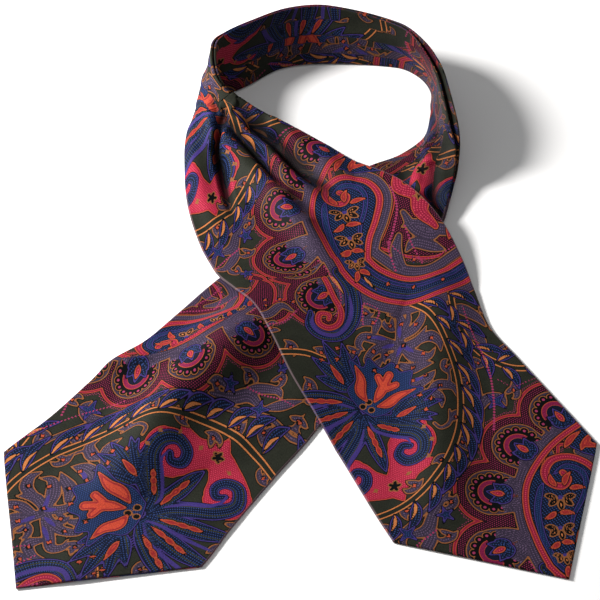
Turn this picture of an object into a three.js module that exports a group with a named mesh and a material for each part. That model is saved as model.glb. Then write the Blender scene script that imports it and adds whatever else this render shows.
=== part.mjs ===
// Silk day cravat, laid on a table with its neck loop standing on edge.
// Millimetres, +Z up, the table at z = 0, the viewer on the -Y side.
//
// The cravat is one long ribbon: a front blade, a pleated neck band and a back blade.
// A place on the ribbon has a station (mm along it, from the front point to the back point)
// and an across value (0 at the low edge of the standing band, 1 at its high edge).
// The ribbon's inner face is the one towards the neck. It lies underneath on the front
// blade and on top on the back blade. Every offset is measured from it, outwards.

import * as THREE from 'three';

// Driving sizes

const WALL = 1.8;
const LAYER_GAP = 0.85;
const SEAM_GAP = 0.3;
const BAND_RISE = 44;
const POINT_LENGTH = 80;

const FRONT_CORNER_AT = 80;
const FRONT_SEAM_AT = 480;
const BACK_SEAM_AT = 800;
const OUTER_FOLD_END_LOW = 0.82;
const BACK_CORNER_AT = 1189;
const BACK_POINT_AT = BACK_CORNER_AT + POINT_LENGTH;

const STACK = 2 * WALL + LAYER_GAP;
const PLEATS_SPREAD_OVER = 75;

// Near the back seam the outer fold stands open behind the band.
const OPEN_GAP = 1.9;
const OPENS_OVER = 60;

// The front blade lies over the back blade and settles to the table beside it.
const CROSSING_CLEARANCE = 0.8;
const CROSSING_SLOPE = 0.2;
const CROSSING_ENDS_AT = 470;

const BLADE_ROWS = 52;
const BLADE_COLUMNS = 22;
const BAND_ROWS = 46;
const OUTER_FOLD_ROWS = 55;
const BAND_COLUMNS = 12;
const BAND_ROW_STEP = (BACK_SEAM_AT - FRONT_SEAM_AT) / BAND_ROWS;
const OUTER_FOLD_END_AT = FRONT_SEAM_AT + OUTER_FOLD_ROWS * BAND_ROW_STEP;

// One row for each section of the ribbon: its station, its low edge and its high edge.

const SECTIONS = [
  { at: 0, low: [98.2, -291.5, 0], high: [233.2, -210.2, 0] },
  { at: FRONT_CORNER_AT, low: [57.6, -222.0, 0], high: [192.6, -140.7, 0] },
  { at: 165, low: [24.6, -151.7, 0], high: [145.1, -63.6, 0] },
  { at: 200, low: [9.9, -121.6, 0], high: [129.2, -37.1, 0] },
  { at: 236, low: [-6.8, -89.1, 0], high: [119.6, -0.1, 0.5] },
  { at: 271, low: [-20.2, -55.5, 0], high: [110.6, 29.4, 2] },
  { at: 300, low: [-31.7, -29.4, 0], high: [97.0, 60.4, 5] },
  { at: 331, low: [-46.5, -9.5, 0], high: [74.4, 90.9, 8] },
  { at: 361, low: [-60.1, 11.8, 0], high: [48.0, 112.9, 9] },
  { at: 416, low: [-80.0, 77.2, 0], high: [6.0, 141.4, 15] },
  { at: 461, low: [-82.6, 132.1, 0], high: [-35.8, 161.4, 26] },
  { at: 494, low: [-76.4, 177.6, 0], high: [-57.8, 179.1, 37] },
  { at: 522, low: [-66.6, 199.4, 0], high: [-62.1, 210.9, BAND_RISE] },
  { at: 537, low: [-55.1, 202.9, 0], high: [-53.6, 222.9, BAND_RISE] },
  { at: 558, low: [-40.6, 212.4, 0], high: [-35.6, 235.9, BAND_RISE] },
  { at: 590, low: [-15.8, 232.4, 0], high: [-8.0, 250.7, BAND_RISE] },
  { at: 622, low: [16.3, 238.7, 0], high: [21.7, 253.0, BAND_RISE] },
  { at: 677, low: [71.4, 236.0, 0], high: [71.4, 232.9, BAND_RISE] },
  { at: 701, low: [88.9, 224.9, 0], high: [88.4, 212.4, BAND_RISE] },
  { at: 725, low: [97.7, 207.6, 0], high: [99.2, 185.9, BAND_RISE] },
  { at: 746, low: [96.6, 189.6, 0], high: [104.0, 161.4, 43] },
  { at: 778, low: [91.2, 156.9, 0], high: [109.4, 130.9, 34] },
  { at: 798, low: [72.4, 136.6, 0], high: [111.6, 115.9, 21.5] },
  { at: 819, low: [47.6, 122.4, 0], high: [109.8, 99.6, 8] },
  { at: 892, low: [-6.3, 63.4, 0], high: [91.9, 36.6, 0] },
  { at: 978, low: [-59.2, 7.0, 0], high: [49.4, -52.4, 0] },
  { at: 1027, low: [-84.8, -24.6, 0], high: [24.5, -103.9, 0] },
  { at: 1062, low: [-106.1, -50.4, 0], high: [5.4, -138.1, 0] },
  { at: 1096, low: [-128.6, -71.4, 0], high: [-15.6, -168.6, 0] },
  { at: 1151, low: [-164.1, -117.1, 0], high: [-43.8, -212.0, 0] },
  { at: BACK_CORNER_AT, low: [-192.6, -148.2, 0], high: [-61.1, -241.2, 0] },
  { at: BACK_POINT_AT, low: [-240.4, -211.3, 0], high: [-110.3, -304.9, 0] },
];

// One row for each fold. Its path runs through places given as [station, across].
// lift is how far the cloth stands out from its inner face there, negative towards the
// neck, and reach is how far the fold spreads on each side, in mm.

const FOLDS = [
  { name: 'low pleat', path: [[486, 0.22], [464, 0.3], [418, 0.28]], lift: -3.2, reach: 5 },
  { name: 'middle pleat', path: [[492, 0.6], [446, 0.6], [353, 0.54]], lift: -3.8, reach: 6 },
  { name: 'corner bulge', path: [[534, 0.35], [516, 0.4], [498, 0.38]], lift: 2.6, reach: 11 },
  { name: 'high pleat', path: [[462, 0.96], [420, 0.85], [375, 0.78]], lift: -3.2, reach: 5 },
  { name: 'low roll', path: [[478, 0.08], [440, 0.13], [395, 0.14]], lift: 2.5, reach: 8 },
  { name: 'middle roll', path: [[488, 0.42], [440, 0.45], [385, 0.42]], lift: 3.2, reach: 9 },
  { name: 'high roll', path: [[466, 0.78], [420, 0.73], [355, 0.67]], lift: 3.5, reach: 9 },
  { name: 'edge roll', path: [[425, 0.97], [392, 0.92], [350, 0.88]], lift: 2.2, reach: 7 },
  { name: 'front tuck', path: [[338, 0.02], [316, 0.3], [294, 0.5]], lift: 2.2, reach: 12 },
  { name: 'front swell', path: [[255, 0.75], [190, 0.62], [120, 0.66]], lift: 3, reach: 22 },
  { name: 'front edge swell', path: [[150, 0.12], [105, 0.3], [60, 0.42]], lift: 2.5, reach: 18 },
  { name: 'back valley', path: [[812, 0.7], [838, 0.84], [860, 0.93]], lift: 3.6, reach: 5 },
  { name: 'back dip', path: [[820, 0.42], [837, 0.56], [865, 0.64]], lift: 2.4, reach: 6 },
  { name: 'back ridge', path: [[810, 0.58], [835, 0.7], [872, 0.8]], lift: -3.6, reach: 6 },
  { name: 'back tuck', path: [[1096, 0.02], [1036, 0.24], [985, 0.38]], lift: -3.4, reach: 13 },
  { name: 'back swell', path: [[1150, 0.2], [1085, 0.4], [1010, 0.72]], lift: -4.2, reach: 20 },
  { name: 'back point swell', path: [[1230, 0.6], [1190, 0.75], [1150, 0.85]], lift: -2.5, reach: 18 },
  { name: 'band dent', path: [[600, 0.75], [640, 0.7], [668, 0.8]], lift: 1.2, reach: 7 },
  { name: 'band crease', path: [[752, 0.1], [782, 0.45], [800, 0.7]], lift: 2, reach: 6 },
];

// The knife pleats of the neck band, which step up on its outer face only.

const OUTER_PLEATS = [
  { across: 0.2, step: 0.7, depth: 0.1 },
  { across: 0.5, step: 0.9, depth: 0.13 },
  { across: 0.8, step: 0.7, depth: 0.1 },
];

// The high edge of the neck band's inner layer sits back from the outer fold.
const RIM_SETBACK = { from: 690, to: BACK_SEAM_AT, fade: 25, depth: 0.07, hollow: 1.6 };

const MATERIAL_ROUGHNESS = 0.45;
const PIECE_COLOURS = {
  front_blade: 0x4a3340,
  back_blade: 0x413547,
  neck_band: 0x33302f,
  neck_pleats: 0x3d2a33,
};

// Small sums

function ease(from, to, value) {
  const t = THREE.MathUtils.clamp((value - from) / (to - from), 0, 1);
  return t * t * (3 - 2 * t);
}

// A smooth curve through the table: a cubic between two rows, with the slope at each row
// taken from the rows on both sides of it.

function edgePoint(edge, at) {
  const last = SECTIONS.length - 1;
  let i = 0;
  while (i < last - 1 && SECTIONS[i + 1].at <= at) i += 1;
  const slope = (k, axis) => {
    const before = SECTIONS[Math.max(k - 1, 0)];
    const after = SECTIONS[Math.min(k + 1, last)];
    return (after[edge][axis] - before[edge][axis]) / (after.at - before.at);
  };
  const start = SECTIONS[i];
  const end = SECTIONS[i + 1];
  const span = end.at - start.at;
  const t = (at - start.at) / span;
  const axisValue = (axis) => (2 * t ** 3 - 3 * t ** 2 + 1) * start[edge][axis]
    + (t ** 3 - 2 * t ** 2 + t) * span * slope(i, axis)
    + (3 * t ** 2 - 2 * t ** 3) * end[edge][axis]
    + (t ** 3 - t ** 2) * span * slope(i + 1, axis);
  return new THREE.Vector3(axisValue(0), axisValue(1), axisValue(2));
}

function ruledPoint(at, across) {
  return edgePoint('low', at).lerp(edgePoint('high', at), across);
}

// The direction out of the ribbon's outer face.

function outward(at, across) {
  const step = 0.5;
  const along = ruledPoint(at + step, across).sub(ruledPoint(at - step, across));
  const over = edgePoint('high', at).sub(edgePoint('low', at));
  return over.cross(along).normalize();
}

function widthAt(at) {
  return edgePoint('low', at).distanceTo(edgePoint('high', at));
}

// How far a fold moves the cloth: full on its path, and falling off as a bell beside it
// that ends at a foot, past which the cloth is quite flat.

const BELL_FOOT = 0.06;

function foldOffset(fold, at, acrossMm) {
  let nearest = Infinity;
  for (let k = 0; k + 1 < fold.path.length; k += 1) {
    const [startAt, startAcross] = fold.path[k];
    const [endAt, endAcross] = fold.path[k + 1];
    const start = new THREE.Vector2(startAt, startAcross * widthAt(startAt));
    const leg = new THREE.Vector2(endAt, endAcross * widthAt(endAt)).sub(start);
    const here = new THREE.Vector2(at, acrossMm).sub(start);
    const share = THREE.MathUtils.clamp(here.dot(leg) / leg.lengthSq(), 0, 1);
    nearest = Math.min(nearest, here.distanceTo(leg.multiplyScalar(share)));
  }
  const bell = Math.exp(-((nearest / fold.reach) ** 2));
  return fold.lift * Math.max(0, bell - BELL_FOOT) / (1 - BELL_FOOT);
}

function foldsAt(at, across) {
  const acrossMm = across * widthAt(at);
  return FOLDS.reduce((sum, fold) => sum + foldOffset(fold, at, acrossMm), 0);
}

// Past the back seam the outer fold narrows towards the high edge: its low limit.

function outerFoldLow(at) {
  return OUTER_FOLD_END_LOW * ease(BACK_SEAM_AT - 45, BACK_SEAM_AT + 30, at);
}

// The outer fold lies close behind the band and stands open at the back blade's edge.

function foldGap(at) {
  const opening = ease(BACK_SEAM_AT - OPENS_OVER, BACK_SEAM_AT, at);
  return THREE.MathUtils.lerp(LAYER_GAP, OPEN_GAP, opening);
}

// A leaning or lying stretch is raised so that the layers behind it clear the table.

function layersBehind(at, across) {
  const low = outerFoldLow(at);
  const covered = ease(low - 0.14, low - 0.02, across);
  const ending = ease(OUTER_FOLD_END_AT, OUTER_FOLD_END_AT + 30, at);
  return WALL + (WALL + foldGap(at)) * covered * (1 - ending);
}

function ribbonPoint(at, across, offset, extraLift = 0) {
  const normal = outward(at, across);
  const point = ruledPoint(at, across);
  point.z += Math.max(0, -normal.z) * layersBehind(at, across) + extraLift;
  point.addScaledVector(normal, offset + foldsAt(at, across));
  point.z = Math.max(point.z, 0);
  return point;
}

// The front blade is carried by the back blade where it crosses it. Its underside stays
// above a tent: each sampled point of the back blade, with slopes falling away round it.

const CROSSED_FROM = BACK_SEAM_AT;
const CROSSED_TO = 1090;
const CROSSED_STEP = 3;
const CROSSED_SHARES = 46;

function backBladeTops() {
  const tops = [];
  for (let at = CROSSED_FROM; at <= CROSSED_TO; at += CROSSED_STEP) {
    for (let k = 0; k <= CROSSED_SHARES; k += 1) {
      tops.push(ribbonPoint(at, k / CROSSED_SHARES, 0));
    }
  }
  return tops;
}

const TOPS = backBladeTops();

function tentHeight(x, y) {
  return TOPS.reduce((height, top) => {
    const fall = CROSSING_SLOPE * Math.hypot(top.x - x, top.y - y);
    return Math.max(height, top.z + CROSSING_CLEARANCE - fall);
  }, 0);
}

function frontBladePoint(at, across, offset) {
  const under = ribbonPoint(at, across, 0);
  const tent = at < CROSSING_ENDS_AT ? tentHeight(under.x, under.y) : 0;
  const fade = 1 - ease(CROSSING_ENDS_AT - 40, CROSSING_ENDS_AT, at);
  return ribbonPoint(at, across, offset, Math.max(0, tent - under.z) * fade);
}

// A wall of cloth as one closed mesh: an inner and an outer grid of points, joined by
// four strips round the rim. Both faces are split along the shorter diagonal.

function wallGeometry({ rows, columns, place }) {
  const positions = [];
  for (const side of ['inner', 'outer']) {
    for (let i = 0; i <= rows; i += 1) {
      for (let j = 0; j <= columns; j += 1) {
        positions.push(...place(i / rows, j / columns, side).toArray());
      }
    }
  }
  const layer = (rows + 1) * (columns + 1);
  const inner = (i, j) => i * (columns + 1) + j;
  const outer = (i, j) => layer + inner(i, j);
  const faces = [];
  const corner = (index) => new THREE.Vector3().fromArray(positions, 3 * index);
  const quad = (a, b, c, d, forward = true) => {
    faces.push(...(forward ? [a, b, c, a, c, d] : [a, b, d, b, c, d]));
  };
  for (let i = 0; i < rows; i += 1) {
    for (let j = 0; j < columns; j += 1) {
      const forwardLength = corner(inner(i, j)).distanceTo(corner(inner(i + 1, j + 1)));
      const backwardLength = corner(inner(i, j + 1)).distanceTo(corner(inner(i + 1, j)));
      const forward = forwardLength <= backwardLength;
      quad(outer(i, j), outer(i, j + 1), outer(i + 1, j + 1), outer(i + 1, j), forward);
      quad(inner(i, j), inner(i + 1, j), inner(i + 1, j + 1), inner(i, j + 1), forward);
    }
    quad(inner(i, 0), outer(i, 0), outer(i + 1, 0), inner(i + 1, 0));
    quad(inner(i + 1, columns), outer(i + 1, columns), outer(i, columns), inner(i, columns));
  }
  for (let j = 0; j < columns; j += 1) {
    quad(inner(0, j + 1), outer(0, j + 1), outer(0, j), inner(0, j));
    quad(inner(rows, j), outer(rows, j), outer(rows, j + 1), inner(rows, j + 1));
  }
  const geometry = new THREE.BufferGeometry();
  geometry.setAttribute('position', new THREE.Float32BufferAttribute(positions, 3));
  geometry.setIndex(faces);
  geometry.computeVertexNormals();
  return geometry;
}

// How far the pointed end reaches past the corners: nothing at the edges, all of
// POINT_LENGTH in the middle.

function pointReach(across) {
  return POINT_LENGTH * (1 - Math.abs(2 * across - 1));
}

// Front blade: outer face up, thick where the pleats still lie on each other.

function frontBladePlace(along, across, side) {
  const tip = FRONT_CORNER_AT - pointReach(across);
  const at = THREE.MathUtils.lerp(tip, FRONT_SEAM_AT - SEAM_GAP, along);
  const pleated = ease(FRONT_SEAM_AT - PLEATS_SPREAD_OVER, FRONT_SEAM_AT, at);
  const thickness = THREE.MathUtils.lerp(WALL, STACK, pleated);
  return frontBladePoint(at, across, side === 'outer' ? thickness : 0);
}

// Back blade: inner face up, its outer face on the table.

function backBladePlace(along, across, side) {
  const tip = BACK_CORNER_AT + pointReach(across);
  const at = THREE.MathUtils.lerp(BACK_SEAM_AT + SEAM_GAP, tip, along);
  return ribbonPoint(at, across, side === 'outer' ? WALL : 0);
}

// Neck band, inner layer: its high edge draws back from the outer fold on the right.

function rimShare(at) {
  const { from, to, fade } = RIM_SETBACK;
  return ease(from, from + fade, at) * (1 - ease(to - fade, to, at));
}

function neckBandPlace(along, across, side) {
  const at = THREE.MathUtils.lerp(FRONT_SEAM_AT + SEAM_GAP, BACK_SEAM_AT - SEAM_GAP, along);
  const setback = rimShare(at);
  const place = across * (1 - RIM_SETBACK.depth * setback);
  const hollow = -RIM_SETBACK.hollow * setback * ease(0.5, 1, across);
  return ribbonPoint(at, place, (side === 'outer' ? WALL : 0) + hollow);
}

// Neck band, outer folds: the layer behind, with the knife pleats as steps on its outer
// face. Past the back seam it runs on under the blade's high edge and narrows away.

function pleatStep(across) {
  return OUTER_PLEATS.reduce((sum, { across: line, step, depth }) => {
    const past = across - line;
    return sum + (past < 0 ? 0 : step * Math.exp(-past / depth));
  }, 0);
}

function neckPleatsPlace(along, across, side) {
  const at = THREE.MathUtils.lerp(FRONT_SEAM_AT + SEAM_GAP, OUTER_FOLD_END_AT, along);
  const place = THREE.MathUtils.lerp(outerFoldLow(at), 1, across);
  const innerFace = WALL + foldGap(at);
  const steps = pleatStep(place) * (1 - ease(BACK_SEAM_AT - 60, BACK_SEAM_AT, at));
  return ribbonPoint(at, place, side === 'outer' ? innerFace + WALL + steps : innerFace);
}

const PIECES = [
  { name: 'front_blade', rows: BLADE_ROWS, columns: BLADE_COLUMNS, place: frontBladePlace },
  { name: 'back_blade', rows: BLADE_ROWS, columns: BLADE_COLUMNS, place: backBladePlace },
  { name: 'neck_band', rows: BAND_ROWS, columns: BAND_COLUMNS, place: neckBandPlace },
  { name: 'neck_pleats', rows: OUTER_FOLD_ROWS, columns: BAND_COLUMNS, place: neckPleatsPlace },
];

const cravat = new THREE.Group();
cravat.name = 'silk_cravat';
for (const piece of PIECES) {
  const material = new THREE.MeshStandardMaterial({
    color: PIECE_COLOURS[piece.name],
    roughness: MATERIAL_ROUGHNESS,
    metalness: 0,
  });
  const mesh = new THREE.Mesh(wallGeometry(piece), material);
  mesh.name = piece.name;
  cravat.add(mesh);
}

export default cravat;
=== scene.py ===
"""Silk day cravat laid on a table with its neck loop standing on edge.

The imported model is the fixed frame. Each cloth piece is a fine closed shell on the form
of its solid, dressed in an all-over paisley twill that is worked out in cloth coordinates.
"""

import logging
import math
from dataclasses import dataclass, field
from enum import Enum

import bpy
import numpy as np
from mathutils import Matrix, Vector


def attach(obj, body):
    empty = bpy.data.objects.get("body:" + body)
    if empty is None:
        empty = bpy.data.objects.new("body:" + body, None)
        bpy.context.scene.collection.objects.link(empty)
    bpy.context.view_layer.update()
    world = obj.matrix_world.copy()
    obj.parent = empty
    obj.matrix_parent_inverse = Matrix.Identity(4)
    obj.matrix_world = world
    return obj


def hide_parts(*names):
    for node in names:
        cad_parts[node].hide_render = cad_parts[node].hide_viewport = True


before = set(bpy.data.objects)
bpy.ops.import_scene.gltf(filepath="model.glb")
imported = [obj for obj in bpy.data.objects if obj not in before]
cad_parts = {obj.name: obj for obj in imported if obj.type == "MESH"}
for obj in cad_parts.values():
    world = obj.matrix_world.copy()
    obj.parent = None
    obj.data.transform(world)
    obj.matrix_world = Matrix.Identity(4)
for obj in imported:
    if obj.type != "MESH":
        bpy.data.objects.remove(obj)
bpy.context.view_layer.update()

LOG = logging.getLogger("cravat")
MM = 0.001
Array = np.ndarray
Socket = bpy.types.NodeSocket
Place = tuple[float, float]

# Sizes in mm. A station is a place along the ribbon, from the front point to the back point.
WALL = 1.8
LAYER_GAP = 0.85
OPEN_GAP = 1.9
OPENS_OVER = 60.0
STACK = 2 * WALL + LAYER_GAP
POINT_LENGTH = 80.0
FRONT_CORNER_AT = 80.0
FRONT_SEAM_AT = 480.0
BACK_SEAM_AT = 800.0
BACK_CORNER_AT = 1189.0
OUTER_FOLD_END_AT = 862.6
OUTER_FOLD_END_LOW = 0.82
PLEATS_SPREAD_OVER = 75.0
CLOTH_WIDTH = 160.0
SEAM_INSET = 0.02
CROSSING_CLEARANCE = 0.8
CROSSING_SLOPE = 0.2
CROSSING_ENDS_AT = 470.0
CROSSING_FADES_OVER = 40.0
BELL_FOOT = 0.06
SHARP_ANGLE = 65.0

# The print. Its places on the back blade's seen face, and its jumps at the two tucks, are
# (across, along) in mm. Painted shade darkens troughs between two depths, and is painted
# on the loop's inside, where the loop would shade it.
HEM_WIDTH = 2.0
BACK_PRINT_PLACE = (-19.0, -992.0)
BACK_TUCK_JUMP = (-17.0, 10.0)
FRONT_TUCK_JUMP = -8.0
TROUGH_FROM = 0.5
TROUGH_DEEPENS_OVER = 4.5
NECK_SHADE = 0.4
SEEN_FACE_CHANGES_AT = 700.0

# The ribbon's sections: station, low edge (x, y, z), high edge (x, y, z), in mm.
SECTIONS = np.array([
    [0, 98.2, -291.5, 0, 233.2, -210.2, 0],
    [80, 57.6, -222.0, 0, 192.6, -140.7, 0],
    [165, 24.6, -151.7, 0, 145.1, -63.6, 0],
    [200, 9.9, -121.6, 0, 129.2, -37.1, 0],
    [236, -6.8, -89.1, 0, 119.6, -0.1, 0.5],
    [271, -20.2, -55.5, 0, 110.6, 29.4, 2],
    [300, -31.7, -29.4, 0, 97.0, 60.4, 5],
    [331, -46.5, -9.5, 0, 74.4, 90.9, 8],
    [361, -60.1, 11.8, 0, 48.0, 112.9, 9],
    [416, -80.0, 77.2, 0, 6.0, 141.4, 15],
    [461, -82.6, 132.1, 0, -35.8, 161.4, 26],
    [494, -76.4, 177.6, 0, -57.8, 179.1, 37],
    [522, -66.6, 199.4, 0, -62.1, 210.9, 44],
    [537, -55.1, 202.9, 0, -53.6, 222.9, 44],
    [558, -40.6, 212.4, 0, -35.6, 235.9, 44],
    [590, -15.8, 232.4, 0, -8.0, 250.7, 44],
    [622, 16.3, 238.7, 0, 21.7, 253.0, 44],
    [677, 71.4, 236.0, 0, 71.4, 232.9, 44],
    [701, 88.9, 224.9, 0, 88.4, 212.4, 44],
    [725, 97.7, 207.6, 0, 99.2, 185.9, 44],
    [746, 96.6, 189.6, 0, 104.0, 161.4, 43],
    [778, 91.2, 156.9, 0, 109.4, 130.9, 34],
    [798, 72.4, 136.6, 0, 111.6, 115.9, 21.5],
    [819, 47.6, 122.4, 0, 109.8, 99.6, 8],
    [892, -6.3, 63.4, 0, 91.9, 36.6, 0],
    [978, -59.2, 7.0, 0, 49.4, -52.4, 0],
    [1027, -84.8, -24.6, 0, 24.5, -103.9, 0],
    [1062, -106.1, -50.4, 0, 5.4, -138.1, 0],
    [1096, -128.6, -71.4, 0, -15.6, -168.6, 0],
    [1151, -164.1, -117.1, 0, -43.8, -212.0, 0],
    [1189, -192.6, -148.2, 0, -61.1, -241.2, 0],
    [1269, -240.4, -211.3, 0, -110.3, -304.9, 0],
])


@dataclass(frozen=True)
class Fold:
    """A trough or ridge in the cloth.

    Attributes:
        name: plain words.
        path: rows of (station, across, lift), lift in mm out of the outer face.
        reach: how far it spreads towards the low edge and the high edge, in mm.
    """

    name: str
    path: tuple[tuple[float, float, float], ...]
    reach: tuple[float, float]


FOLDS: tuple[Fold, ...] = (
    Fold("low pleat", ((492, 0.66, -1), (475, 0.6, -5), (462, 0.53, -7.5), (452, 0.39, -8.5),
                       (430, 0.33, -9), (408, 0.28, -5), (394, 0.26, -1.5)), (3.4, 4.6)),
    Fold("middle pleat", ((470, 0.65, -5), (458, 0.65, -7.5), (446, 0.64, -8.5),
                          (430, 0.63, -8.5), (412, 0.61, -7), (395, 0.59, -3.5),
                          (380, 0.58, 0)), (3.6, 5.5)),
    Fold("corner bulge", ((534, 0.35, 1), (516, 0.4, 2.6), (498, 0.38, 2.4)), (11.0, 11.0)),
    Fold("high pleat", ((466, 0.86, -2), (447, 0.8, -6.5), (425, 0.8, -8.5), (392, 0.76, -7.5),
                        (372, 0.76, -4.5), (350, 0.75, -1.5), (335, 0.74, 0)), (3.8, 7.0)),
    Fold("low roll", ((478, 0.08, 2), (440, 0.13, 3.8), (395, 0.14, 2), (360, 0.15, 0.4)),
         (8.0, 8.0)),
    Fold("middle roll", ((470, 0.52, 2.5), (440, 0.53, 5.5), (410, 0.52, 8.0), (380, 0.53, 9.5),
                         (350, 0.51, 8.0), (324, 0.46, 4.5), (300, 0.42, 1.0)), (11.0, 9.5)),
    Fold("high roll", ((466, 0.74, 2.4), (425, 0.71, 3.5), (370, 0.68, 2.0), (335, 0.66, 0.6)),
         (5.0, 5.0)),
    Fold("edge roll", ((440, 0.95, 2.6), (392, 0.92, 4.0), (350, 0.88, 1.8)), (7.0, 7.0)),
    Fold("front tuck", ((338, 0.02, 2), (316, 0.3, 2.4), (294, 0.5, 0.8)), (12.0, 12.0)),
    Fold("front ridge", ((280, 0.9, 1.5), (240, 0.81, 5.5), (211, 0.72, 7.5), (178, 0.6, 7.5),
                         (143, 0.46, 8.5), (108, 0.33, 7.5), (87, 0.25, 4.0), (70, 0.2, 0.5)),
         (20.0, 22.0)),
    Fold("back valley", ((812, 0.7, 2.4), (838, 0.84, 3.8), (860, 0.93, 2)), (5.0, 5.0)),
    Fold("back dip", ((820, 0.42, 1.6), (837, 0.56, 2.4), (865, 0.64, 1.2)), (6.0, 6.0)),
    Fold("back ridge", ((810, 0.58, -3), (835, 0.7, -3.8), (872, 0.8, -2)), (6.0, 6.0)),
    Fold("back tuck", ((1096, 0.02, -3.0), (1036, 0.2, -4.2), (985, 0.3, -2.5)), (11.0, 9.0)),
    Fold("back ridge by the tuck", ((1185, 0.47, -4.0), (1160, 0.46, -12.0), (1125, 0.44, -17.0),
                                    (1093, 0.4, -18.5), (1061, 0.38, -18.5), (1034, 0.37, -17.0),
                                    (1000, 0.39, -12.0), (965, 0.46, -5.0)), (24.0, 27.0)),
    Fold("back far ridge", ((1150, 0.62, -2.0), (1085, 0.74, -3.6), (1030, 0.84, -2.0)),
         (18.0, 14.0)),
    Fold("back point swell", ((1230, 0.6, -2), (1190, 0.75, -2.5), (1150, 0.85, -1.5)),
         (18.0, 18.0)),
    Fold("band dent", ((600, 0.75, 1), (640, 0.7, 1.2), (668, 0.8, 1)), (7.0, 7.0)),
    Fold("band crease", ((752, 0.1, 1.4), (782, 0.45, 2), (800, 0.7, 2)), (6.0, 6.0)),
)


def ease(start: float, end: float, value: Array) -> Array:
    """Smooth step.

    Args:
        start: value at which the result is 0.
        end: value at which the result is 1.
        value: where to work it out.

    Returns:
        3 t squared less 2 t cubed, t being the clamped share of the way.
    """
    t = np.clip((value - start) / (end - start), 0.0, 1.0)
    return t * t * (3 - 2 * t)


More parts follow.
